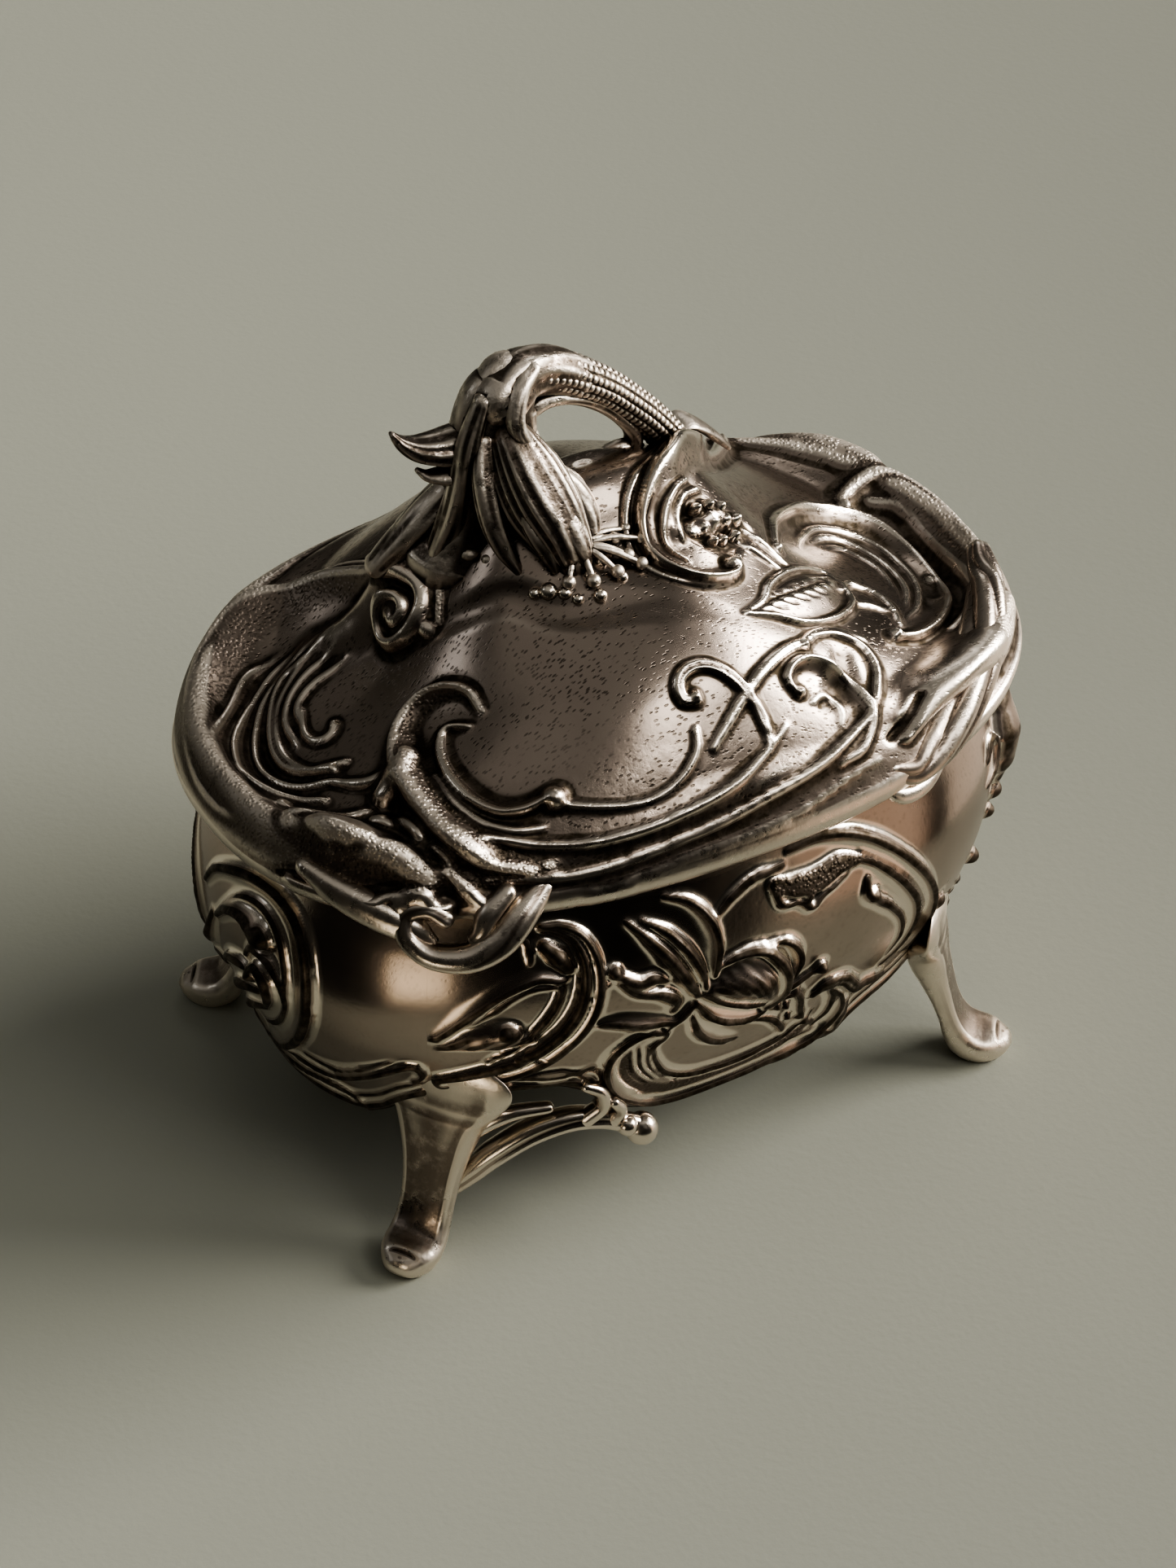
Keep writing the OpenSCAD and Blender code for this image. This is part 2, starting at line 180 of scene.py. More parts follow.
def spline(points, step=0.8):
    """Rows along a smooth curve through points, evenly spaced. Extra columns follow along."""
    p = np.asarray(points, float)
    q = np.vstack([2 * p[0] - p[1], p, 2 * p[-1] - p[-2]])
    t = np.linspace(0, 1, 16, endpoint=False)[:, None]
    parts = [
        .5 * (2 * b + (c - a) * t + (2 * a - 5 * b + 4 * c - d) * t**2 + (3 * b - a - 3 * c + d) * t**3)
        for a, b, c, d in zip(q[:-3], q[1:-2], q[2:-1], q[3:])]
    dense = np.vstack(parts + [p[-1:]])
    k = min(3, dense.shape[1])
    run = run_along(dense[:, :k])
    at = np.linspace(0, run[-1], max(6, int(run[-1] / step) + 1))
    return np.stack([np.interp(at, run, dense[:, j]) for j in range(dense.shape[1])], 1)


def around(n):
    """n even angles round a full turn."""
    return np.linspace(0, 2 * math.pi, n, endpoint=False)


def unit(v):
    """Vectors made one long."""
    return v / np.maximum(np.linalg.norm(v, axis=-1, keepdims=True), 1e-9)


def grid_normals(grid, wrap):
    """Normals of a grid of points [rows, columns, 3], outward for rows outward, columns anticlockwise."""
    if wrap:
        du = np.roll(grid, -1, 1) - np.roll(grid, 1, 1)
    else:
        du = np.gradient(grid, axis=1)
    dv = np.gradient(grid, axis=0)
    return unit(np.cross(dv, du))


BALL_SIDES, BALL_RINGS = 20, 12


class Part:
    """Collects grids, tubes and balls that make one piece."""

    def __init__(self):
        """Starts empty."""
        self.points, self.quads, self.tris, self.grain, self.count = [], [], [], [], 0
        self.crevice, self.age = None, 0.0

    def arrays(self):
        """All points, four-sided faces and three-sided faces."""
        tris = np.vstack(self.tris) if self.tris else np.zeros((0, 3), int)
        return np.vstack(self.points), np.vstack(self.quads), tris

    def grid(self, grid, wrap_columns=False, wrap_rows=False, grain=None, caps=(False, False),
             flip=False):
        """Adds a grid of points, joined up where it wraps, with a fan over each end row in caps."""
        rows, cols = grid.shape[:2]
        r = np.arange(rows if wrap_rows else rows - 1)[:, None]
        c = np.arange(cols if wrap_columns else cols - 1)[None]
        a, b = r * cols + c, r * cols + (c + 1) % cols
        d, e = (r + 1) % rows * cols + c, (r + 1) % rows * cols + (c + 1) % cols
        quads = np.stack([a, d, e, b] if not flip else [a, b, e, d], -1).reshape(-1, 4)
        points, tris = grid.reshape(-1, 3), []
        grain = np.zeros(len(points)) if grain is None else np.ravel(grain)
        for cap, row, forward in ((caps[0], 0, False), (caps[1], rows - 1, True)):
            if cap:
                hub = len(points)
                points = np.vstack([points, grid[row].mean(0)[None]])
                grain = np.append(grain, 0)
                i = row * cols + np.arange(cols)
                j = row * cols + (np.arange(cols) + 1) % cols
                order = (i, j) if forward == flip else (j, i)
                tris.append(np.stack([order[0], order[1], np.full(cols, hub)], -1))
        self.points.append(points)
        self.quads.append(quads + self.count)
        self.tris += [t + self.count for t in tris]
        self.grain.append(grain)
        self.count += len(points)

    def tube(self, rows, ref=(0, 1, 0), step=0.6, sides=28, shape=None, round_ends=(True, True)):
        """Adds a tube along rows of x, y, z, half size across, half size along ref."""
        at = spline(rows, step)
        for end in (0, 1):
            if round_ends[end]:
                at = self.rounded(at, end)
        path = at[:, :3]
        t = unit(np.gradient(path, axis=0))
        across = unit(np.cross(np.array(ref, float), t))
        side = np.cross(t, across)
        g = around(sides)
        share = np.linspace(0, 1, len(at))[:, None]
        k = np.ones((len(at), sides)) if shape is None else shape(g[None], share)
        grid = (path[:, None] + across[:, None] * (at[:, 3, None] * np.cos(g) * k)[..., None]
                + side[:, None] * (at[:, 4, None] * np.sin(g) * k)[..., None])
        self.grid(grid, wrap_columns=True, caps=(True, True), flip=True)

    @staticmethod
    def rounded(at, end):
        """Extends a tube's rows with a round nose."""
        here, before = (at[0], at[1]) if end == 0 else (at[-1], at[-2])
        way = unit(here[:3] - before[:3])
        size = min(here[3], here[4])
        extra = []
        for x in (0.35, 0.6, 0.8, 0.92, 0.985):
            row = here.copy()
            row[:3] = here[:3] + way * size * x
            row[3:5] = here[3:5] * math.sqrt(1 - x * x)
            extra.append(row)
        return np.vstack([extra[::-1], at]) if end == 0 else np.vstack([at, extra])

    def ball(self, centre, r, squash=(1, 1, 1)):
        """Adds a ball."""
        v = np.linspace(0.04, math.pi - 0.04, BALL_RINGS)[:, None]
        g = around(BALL_SIDES)[None]
        grid = np.stack([np.sin(v) * np.cos(g), np.sin(v) * np.sin(g), np.cos(v) + 0 * g], -1)
        grid = np.array(centre, float) + r * grid * np.array(squash, float)
        self.grid(grid, wrap_columns=True, caps=(True, True))

    def turned(self, degrees):
        """The same part turned about Z."""
        a = math.radians(degrees)
        return self.through(((math.cos(a), -math.sin(a), 0), (math.sin(a), math.cos(a), 0), (0, 0, 1)))

    def mirrored(self, x, y):
        """The same part mirrored along the axes whose sign is -1."""
        return self.through(np.diag((x, y, 1)))

    def through(self, matrix):
        """The same part through a matrix, with its faces still outward."""
        other, matrix = Part(), np.array(matrix, float)
        way = -1 if np.linalg.det(matrix) < 0 else 1
        other.points = [p @ matrix.T for p in self.points]
        other.quads = [q[:, ::way] for q in self.quads]
        other.tris = [q[:, ::way] for q in self.tris]
        other.grain, other.count = self.grain, self.count
        other.crevice, other.age = self.crevice, self.age
        return other

    def make(self, name, material, worn=26):
        """Makes the object, with what its material needs to know stored on its points."""
        points, quads, tris = self.arrays()
        mesh = bpy.data.meshes.new(name)
        loops = np.concatenate([quads.ravel(), tris.ravel()]).astype(np.int32)
        starts = np.concatenate([np.arange(len(quads)) * 4, len(quads) * 4 + np.arange(len(tris)) * 3])
        mesh.vertices.add(len(points))
        mesh.vertices.foreach_set("co", (points * MM).ravel())
        mesh.loops.add(len(loops))
        mesh.loops.foreach_set("vertex_index", loops)
        mesh.polygons.add(len(starts))
        mesh.polygons.foreach_set("loop_start", starts.astype(np.int32))
        mesh.update(calc_edges=True)
        mesh.polygons.foreach_set("use_smooth", np.ones(len(starts), bool))
        deep, wide = hollows(points, quads, tris, worn)
        hidden = np.zeros(len(points)) if self.crevice is None else self.crevice
        for name_of_layer, values in (
                ("hollow", deep), ("valley", wide), ("grain", np.concatenate(self.grain)),
                ("crevice", hidden), ("age", np.full(len(points), self.age))):
            stored = mesh.attributes.new(name_of_layer, "FLOAT", "POINT")
            stored.data.foreach_set("value", values.astype(np.float32))
        mesh.materials.append(material)
        obj = bpy.data.objects.new(name, mesh)
        bpy.context.collection.objects.link(obj)
        return obj


def point_normals(points, quads):
    """Normals at the corners of four-sided faces."""
    normal = np.zeros((len(points), 3))
    face = np.cross(points[quads[:, 2]] - points[quads[:, 0]], points[quads[:, 3]] - points[quads[:, 1]])
    for k in range(4):
        for j in range(3):
            normal[:, j] += np.bincount(quads[:, k], face[:, j], len(points))
    return unit(normal)


def hollows(points, quads, tris, rounds):
    """How far each point lies below its neighbourhood, in mm, at a small and at a larger scale."""
    edges = np.vstack([quads[:, [0, 1]], quads[:, [1, 2]], quads[:, [2, 3]], quads[:, [3, 0]],
                       tris[:, [0, 1]], tris[:, [1, 2]], tris[:, [2, 0]]])
    n = len(points)
    degree = np.maximum(np.bincount(edges[:, 0], minlength=n), 1)
    normal = point_normals(points, quads)
    even, small = points.copy(), None
    for turn in range(rounds):
        even = np.stack([np.bincount(edges[:, 0], even[edges[:, 1], j], n) / degree for j in range(3)], 1)
        if turn == max(2, rounds // 6):
            small = ((even - points) * normal).sum(1)
    wide = ((even - points) * normal).sum(1)
    return small, wide


CREVICE_REACH, CREVICE_RAYS = 5.0, 15
GRAZING = .15  # a ray nearer to the surface than this is left out
CLEAR = .2  # mm from the surface to where its rays start


def find_crevices(parts, ground):
    """Marks, for each point, the share of its surroundings that other surfaces hide; the plate's material
    paints shade from it.
    """
    points, faces, base = [], [], 0
    for part in parts + ground:
        p, quads, tris = part.arrays()
        points.append(p)
        faces += (quads + base).tolist() + (tris + base).tolist()
        base += len(p)
    tree = BVHTree.FromPolygons(np.vstack(points).tolist(), faces)
    k = np.arange(CREVICE_RAYS) + .5
    up = 1 - 2 * k / CREVICE_RAYS
    turn = k * math.pi * (3 - math.sqrt(5))
    sky = np.stack([np.sqrt(1 - up * up) * np.cos(turn), np.sqrt(1 - up * up) * np.sin(turn), up], 1)
    ways = [Vector(w) for w in sky]
    for part in parts:
        p, quads, _ = part.arrays()
        normal = point_normals(p, quads)
        start, facing = (p + normal * CLEAR).tolist(), normal @ sky.T
        hidden = np.zeros(len(p))
        for i, row in enumerate(facing):
            lost = 0.0
            for j in np.nonzero(row > GRAZING)[0]:
                far = tree.ray_cast(start[i], ways[j], CREVICE_REACH)[3]
                if far is not None:
                    lost += row[j] * (1 - far / CREVICE_REACH)
            hidden[i] = lost / max(row[row > GRAZING].sum(), .1)
        part.crevice = hidden


def roll(x):
    """Half round across a stroke, where x runs from -1 to 1."""
    return np.sqrt(np.clip(1 - x * x, 0, 1))


def soft(x):
    """A gentle swelling without edges."""
    return np.where(np.abs(x) < 1, .5 + .5 * np.cos(math.pi * np.clip(x, -1, 1)), 0)


def lipped(x):
    """A concave ramp up to a rounded lip near the side where x is 1."""
    lip = .52
    slope = np.clip((x + 1) / (1 + lip), 0, 1)**1.8
    fall = np.sqrt(np.clip(1 - ((x - lip) / (1 - lip))**2, 0, 1))
    return np.where(np.abs(x) < 1, np.where(x < lip, slope, fall), 0)


def reeded(x):
    """Two rolls side by side with a sharp groove between them."""
    a = np.abs(x)
    return np.where(a < 1, np.sqrt(np.clip(1 - (2 * a - 1)**2, 0, 1)), 0)


def flat(x):
    """Level, with eased edges."""
    t = np.clip((1 - np.abs(x)) / .3, 0, 1)
    return t * t * (3 - 2 * t)


class Relief:
    """Ornament over a grid of surface points: broad forms that add up, and strokes that stand on them."""

    def __init__(self, grid, normals, place):
        """Starts plain. place lays plan or wall coordinates on the surface."""
        self.shape = grid.shape[:2]
        self.p, self.n = grid.reshape(-1, 3), normals.reshape(-1, 3)
        self.form, self.raised, self.grain = (np.zeros(len(self.p)) for _ in range(3))
        self.place = place

    def reach(self, path, far):
        """The grid's points near a path: their distance, share along it, and side of it."""
        low, high = path.min(0) - far, path.max(0) + far
        idx = np.nonzero(((self.p > low) & (self.p < high)).all(1))[0]
        q, last = self.p[idx], len(path) - 1
        best, where, side = np.full(len(q), 1e9), np.zeros(len(q)), np.ones(len(q))
        near = np.zeros(len(q), int)
        for i in range(0, len(q), 8192):
            near[i:i + 8192] = ((q[i:i + 8192, None] - path[None])**2).sum(2).argmin(1)
        for j in (np.clip(near - 1, 0, last - 1), np.clip(near, 0, last - 1)):
            a, ab = path[j], path[j + 1] - path[j]
            t = np.clip(((q - a) * ab).sum(1) / np.maximum((ab * ab).sum(1), 1e-9), 0, 1)
            off = q - a - ab * t[:, None]
            dist = np.linalg.norm(off, axis=1)
            win = dist < best
            best[win], where[win] = dist[win], ((j + t) / last)[win]
            side[win] = np.sign((self.n[idx] * np.cross(ab, off)).sum(1))[win]
        return idx, best, where, side

    def stroke(self, points, width, height, shape=roll, lip=1, grain=0.0, form=False):
        """Lays a stroke of half width and height lists along points. lip 1 puts a lip on its left."""
        path = self.place(spline(points))
        width, height = np.atleast_1d(width).astype(float), np.atleast_1d(height).astype(float)
        idx, d, t, side = self.reach(path, width.max() * 1.02)
        w = np.interp(t, np.linspace(0, 1, len(width)), width)
        h = np.interp(t, np.linspace(0, 1, len(height)), height)
        x = np.clip(d / np.maximum(w, .05), 0, 1) * side * lip
        rise = h * shape(x)
        if form:
            self.form[idx] += rise
        else:
            self.raised[idx] = np.maximum(self.raised[idx], rise)
        if grain:
            self.grain[idx] = np.maximum(self.grain[idx], grain * flat(x))

    def bead(self, at, r, height=None):
        """A round boss."""
        c = self.place([at])[0]
        d = np.linalg.norm(self.p - c, axis=1) / r
        top = height if height is not None else r
        self.raised = np.maximum(self.raised, np.where(d < 1, top * np.sqrt(np.clip(1 - d * d, 0, 1)), 0))

    def cut(self, points, width, depth):
        """A groove into whatever stands there."""
        path = self.place(spline(points))
        width = np.atleast_1d(width).astype(float)
        idx, d, t, _ = self.reach(path, width.max())
        w = np.interp(t, np.linspace(0, 1, len(width)), width)
        self.raised[idx] -= depth * soft(np.clip(d / w, 0, 1))

    def surface(self, fade=1.0):
        """The displaced grid, lightly evened out."""
        h = (self.form + self.raised).reshape(self.shape) * fade
        for _ in range(3):
            h = .5 * h + .125 * (np.roll(h, 1, 1) + np.roll(h, -1, 1)) + .125 * (
                np.vstack([h[:1], h[:-1]]) + np.vstack([h[1:], h[-1:]]))
        return (self.p + self.n * h.reshape(-1, 1)).reshape(self.shape + (3,))


# ---- Materials ----

def nodes_of(name):
    """A new material with its tree and its shader."""
    mat = bpy.data.materials.new(name)
    mat.use_nodes = True
    tree = mat.node_tree
    shader = tree.nodes["Principled BSDF"]
    return mat, tree, shader


def set_inputs(n, **values):
    """Sets a node's inputs by name, with an underscore for each space."""
    for key, value in values.items():
        n.inputs[key.replace("_", " ")].default_value = value
    return n


def node(tree, kind, **values):
    """A new node with its inputs set."""
    return set_inputs(tree.nodes.new(kind), **values)


def math_node(tree, operation, a, b=None, clamp=False):
    """A math node fed by sockets or numbers."""
    n = tree.nodes.new("ShaderNodeMath")
    n.operation, n.use_clamp = operation, clamp
    for i, v in enumerate((a, b)):
        if v is None:
            continue
        if hasattr(v, "links"):
            tree.links.new(v, n.inputs[i])
        else:
            n.inputs[i].default_value = v
    return n.outputs[0]


def times(tree, a, b, clamp=False):
    """The product of two sockets or numbers."""
    return math_node(tree, "MULTIPLY", a, b, clamp)


def plus(tree, a, b, clamp=False):
    """Their sum."""
    return math_node(tree, "ADD", a, b, clamp)


def larger(tree, a, b):
    """The larger of two."""
    return math_node(tree, "MAXIMUM", a, b)


def object_place(tree):
    """Metres in the piece's own axes."""
    return tree.nodes.new("ShaderNodeTexCoord").outputs["Object"]


def bumped(tree, shader, height, strength, distance):
    """Gives the shader a bump from height."""
    bump = node(tree, "ShaderNodeBump", Strength=strength, Distance=distance)
    tree.links.new(height, bump.inputs["Height"])
    tree.links.new(bump.outputs[0], shader.inputs["Normal"])


def mix_colour(tree, factor, a, b, how="MIX"):
    """A mix of two colours, sockets or fixed."""
    n = tree.nodes.new("ShaderNodeMix")
    n.data_type, n.blend_type = "RGBA", how
    for socket, v in ((n.inputs[0], factor), (n.inputs[6], a), (n.inputs[7], b)):
        if hasattr(v, "links"):
            tree.links.new(v, socket)
        else:
            socket.default_value = v
    return n.outputs[2]


def ramp(tree, value, low, high):
    """0 to 1, eased, as value goes from low to high."""
    n = tree.nodes.new("ShaderNodeMapRange")
    n.interpolation_type = "SMOOTHSTEP"
    tree.links.new(value, n.inputs[0])
    n.inputs[1].default_value, n.inputs[2].default_value = low, high
    return n.outputs[0]


def noise(tree, place, scale, detail=4.0, rough=0.55, stretch=None):
    """Soft noise of a scale per metre."""
    if stretch:
        m = node(tree, "ShaderNodeMapping", Scale=stretch)
        tree.links.new(place, m.inputs["Vector"])
        place = m.outputs[0]
    n = node(tree, "ShaderNodeTexNoise", Scale=scale, Detail=detail, Roughness=rough)
    tree.links.new(place, n.inputs["Vector"])
    return n.outputs["Fac"]


def layer(tree, name):
    """A value stored on the points of a piece."""
    n = tree.nodes.new("ShaderNodeAttribute")
    n.attribute_name = name
    return n.outputs["Fac"]


def scratches(tree, place, angle, scale, width):
    """Short fine dashes that run one way."""
    m = node(tree, "ShaderNodeMapping", Rotation=(.3, .2, angle), Scale=(1, 3.2, 1))
    tree.links.new(place, m.inputs["Vector"])
    v = node(tree, "ShaderNodeTexVoronoi", Scale=scale)
    v.feature = "F1"
    tree.links.new(m.outputs[0], v.inputs["Vector"])
    return ramp(tree, v.outputs["Distance"], width, width * .5)


# Ranges over which the plate darkens or brightens: depth below the neighbourhood in mm, for tarnish in
# small hollows, tarnish with painted shade in broad valleys and polish with a painted highlight on ridges,
# and share of hidden surroundings, for painted shade between pieces.
HOLLOW, VALLEY, CREVICE, RIDGE = (.012, .11), (.05, .60), (.10, .55), (-.015, -.10)
# The third colour is for polish and the painted highlight on the ridges.
PLATE_DARK, PLATE_LIGHT, PLATE_POLISH_AND_HIGHLIGHT = (.36, .303, .258, 1), (.54, .458, .40, 1), (.82, .745, .655, 1)
# The first colour is for tarnish, stains and grime together with painted shade; the second is for the
# specks.
DIRT_AND_SHADE, SPECK = (.052, .041, .028, 1), (.10, .082, .066, 1)
BRASS_DARK, BRASS_LIGHT = (.20, .15, .09, 1), (.52, .42, .26, 1)
SATIN_DARK, SATIN_LIGHT = (.40, .21, .18, 1), (.62, .38, .33, 1)
RIM_AGE, HANDLE_AGE, LEG_AGE = .30, .78, .45


def tarnish_and_shade(tree, blotch):
    """How dark the plate is: tarnish in the hollows, tarnish with painted shade in the broad valleys,
    painted shade where other surfaces hide the surroundings, stains where it is old, and grime over the
    stippling; also where polish and a painted highlight brighten the ridges.
    """
    deep = times(tree, ramp(tree, layer(tree, "hollow"), *HOLLOW), .86)
    # Broad valleys: tarnish together with painted shade.
    wide = times(tree, ramp(tree, layer(tree, "valley"), *VALLEY), .80)
    # Painted shade where other surfaces hide the surroundings, as where the handle's pieces crowd
    # together.
    hidden = ramp(tree, layer(tree, "crevice"), *CREVICE)
    dirt_and_shade = larger(tree, larger(tree, deep, wide), hidden)
    dirt_and_shade = times(tree, dirt_and_shade, plus(tree, times(tree, blotch, 1.2), .44), True)
    stain = times(tree, ramp(tree, blotch, .30, .56), layer(tree, "age"))
    dirt_and_shade = larger(tree, larger(tree, dirt_and_shade, stain), times(tree, layer(tree, "grain"), .74))
    # The second value paints a highlight, with polish, on the ridges, but not into the painted shade.
    return dirt_and_shade, math_node(tree, "SUBTRACT", ramp(tree, layer(tree, "hollow"), *RIDGE), hidden, True)


def speckling(tree, place):
    """Short dark dashes in patches, nearly all of them on the lid."""
    dashes = larger(tree, scratches(tree, place, .9, 560.0, .30), scratches(tree, place, -.7, 470.0, .28))
    patchy = ramp(tree, noise(tree, place, 45.0, 3.0), .24, .50)
    split = tree.nodes.new("ShaderNodeSeparateXYZ")
    tree.links.new(place, split.inputs[0])
    on_lid = plus(tree, times(tree, ramp(tree, split.outputs[2], .076, .090), .85), .15)
    return times(tree, times(tree, dashes, patchy), on_lid)


def silver():
    """Aged silver plate: polish and a painted highlight on the high places, dark grey-brown tarnish and
    painted shade in the hollows and between pieces.
    """
    mat, tree, shader = nodes_of("silver_plate")
    link = tree.links.new
    place = object_place(tree)
    cloud = noise(tree, place, 60.0, 5.0)
    fine = noise(tree, place, 900.0, 3.0)
    blotch = noise(tree, place, 330.0, 4.0, .65)
    dirt_and_shade, polish_and_highlight = tarnish_and_shade(tree, blotch)
    specks = speckling(tree, place)
    body = mix_colour(tree, cloud, PLATE_DARK, PLATE_LIGHT)
    body = mix_colour(tree, times(tree, specks, .8), body, SPECK)
    # One dark colour for tarnish, stains, grime and painted shade.
    body = mix_colour(tree, dirt_and_shade, body, DIRT_AND_SHADE)
    # Polish and a painted highlight on the high places.
    link(mix_colour(tree, polish_and_highlight, body, PLATE_POLISH_AND_HIGHLIGHT), shader.inputs["Base Color"])
    set_inputs(shader, Metallic=1)
    grain, age = layer(tree, "grain"), layer(tree, "age")
    rough = plus(tree, plus(tree, times(tree, cloud, .16), .16), times(tree, dirt_and_shade, .30))
    link(plus(tree, rough, times(tree, grain, .12), True), shader.inputs["Roughness"])
    stipple = node(tree, "ShaderNodeTexVoronoi", Scale=1250.0)
    link(place, stipple.inputs["Vector"])
    dots = times(tree, ramp(tree, stipple.outputs["Distance"], .15, .6), grain)
    height = plus(tree, times(tree, dots, -.8), times(tree, fine, .07))
    height = plus(tree, height, times(tree, specks, -.12))
    height = plus(tree, height, times(tree, times(tree, blotch, 1.8), age))
    bumped(tree, shader, height, .9, .00022)
    return mat


def brass():
    """Dull tarnished brass."""
    mat, tree, shader = nodes_of("hinge_brass")
    place = object_place(tree)
    cloud = noise(tree, place, 220.0, 5.0)
    colour = mix_colour(tree, ramp(tree, cloud, .35, .7), BRASS_DARK, BRASS_LIGHT)
    tree.links.new(colour, shader.inputs["Base Color"])
    set_inputs(shader, Metallic=1)
    tree.links.new(plus(tree, times(tree, cloud, .3), .22), shader.inputs["Roughness"])
    bumped(tree, shader, noise(tree, place, 1500.0), .25, .0001)
    return mat


def satin():
    """Faded dusty-rose satin."""
    mat, tree, shader = nodes_of("satin_lining")
    place = object_place(tree)
    cloud = noise(tree, place, 35.0, 3.0)
    tree.links.new(mix_colour(tree, cloud, SATIN_DARK, SATIN_LIGHT), shader.inputs["Base Color"])
    set_inputs(shader, Roughness=.42, Sheen_Weight=.5, Sheen_Roughness=.35, Anisotropic=.5)
    bumped(tree, shader, noise(tree, place, 700.0, 2.0, stretch=(1, 1, 8)), .18, .0002)
    return mat


SILVER, BRASS, SATIN = silver(), brass(), satin()


# ---- The lid ----

def lid_relief():
    """The dome with all its ornament."""
    turn = around(LID_TURN)
    share = np.linspace(CREST_SHARE, 1, LID_ROWS)
    grid = dome_point(turn[None], share[:, None])
    relief = Relief(grid, grid_normals(grid, True), on_dome)
    lid_forms(relief)
    left_lobe(relief)
    front_left_corner(relief)
    s_scroll(relief)
    front_sweeps(relief)
    right_front(relief)
    upper_right(relief)
    embossed_leaf(relief)
    right_lobe(relief)
    rim_band(relief)
    return relief


def outline(start, end, inset, count=24):
    """Plan points along the lid's rim between two polar angles in degrees."""
    return oval_xy(LID_A - inset, LID_B - inset, np.radians(np.linspace(start, end, count)))


def lid_forms(r):
    """Broad hollows and swells that the ornament stands on."""
    r.stroke([(-62, -8), (-64, 4), (-60, 15), (-52, 22), (-43, 19), (-38, 10)], [5, 8, 9, 8, 6],
             [-.8, -2.2, -2.6, -2, -.6], soft, form=True)
    r.stroke([(60, -14), (65, -6), (66, 4), (62, 14)], [4, 5.5, 6, 5], [-1, -2.2, -2.4, -1], soft,
             form=True)
    r.stroke([(-36, -1), (-30, -6), (-24, -10), (-18, -16), (-12, -19), (-5, -21.5), (2, -24), (9, -27)],
             [3, 4, 4.6, 4.6, 4, 3], [-.4, -.9, -1, -.8, -.5, -.1], soft, form=True)
    for start, end, inset, width, height in ((112, 226, 6.8, 7.4, 3.4), (-58, 52, 7.2, 7.6, 3.4)):
        r.stroke(outline(start, end, inset), [width * .5, width, width, width, width * .5],
                 [0, height, height, height, .8], soft, form=True)
    r.stroke(outline(-122, -62, 4), [3, 4.4, 4.4, 3], [.3, .9, .9, .3], soft, form=True)
    r.stroke([(-66, -17), (-62, -24), (-57, -31), (-54, -37)], [4, 5.5, 5, 4], [1.6, 3, 2.6, 2], soft,
             form=True)
    r.stroke([(-46, -15), (-48.4, -22), (-48, -30), (-45, -38)], [3, 4.5, 5, 4.5], [.8, 2, 2.4, 2.4],
             soft, form=True)
    r.stroke([(-53.4, -23), (-54, -29), (-51.4, -36)], [1.6, 2, 1.6], [-1.4, -2, -1.6], soft, form=True)
    r.stroke([(66, -22), (58, -29), (50, -34), (42, -38), (36, -42)], [4, 6, 6, 5, 3.6],
             [2, 3, 3, 2.6, 2], soft, form=True)
    r.stroke([(-16, 8), (-26, 9), (-34, 10.5), (-42, 14), (-48, 19)], [9, 9.5, 8.5, 7, 5],
             [4, 5, 5.5, 4, 1.2], soft, form=True)
    r.stroke([(6, -10), (10, -2), (18, 7), (26, 16), (34, 26), (42, 36)], [5, 6, 6, 6, 6, 5],
             [1.6, 2, 1.2, .8, .8, .8], soft, form=True)
    r.stroke([(10, -10), (16, -12), (22, -10)], [4, 5, 3], [-1.6, -2, -.8], soft, form=True)
    r.stroke([(46, 41), (54, 37), (61, 31), (67, 24)], [4, 6, 6, 5], [2, 3, 3, 2], soft, form=True)
    r.stroke([(20, -40), (26, -37), (28, -33)], [3, 5, 4], [-.6, -1.3, -.8], soft, form=True)


def rim_band(r):
    """Stippled bands round the two lobes and a thin bead at the rim."""
    for start, end, width in ((205, 232, 1.8), (40, 118, 2.2)):
        r.stroke(outline(start, end, 2.6), [width * .6, width, width, width * .6], [.6], flat, grain=1)
    r.stroke(outline(0, 360, .4, 90), [.55], [.5])


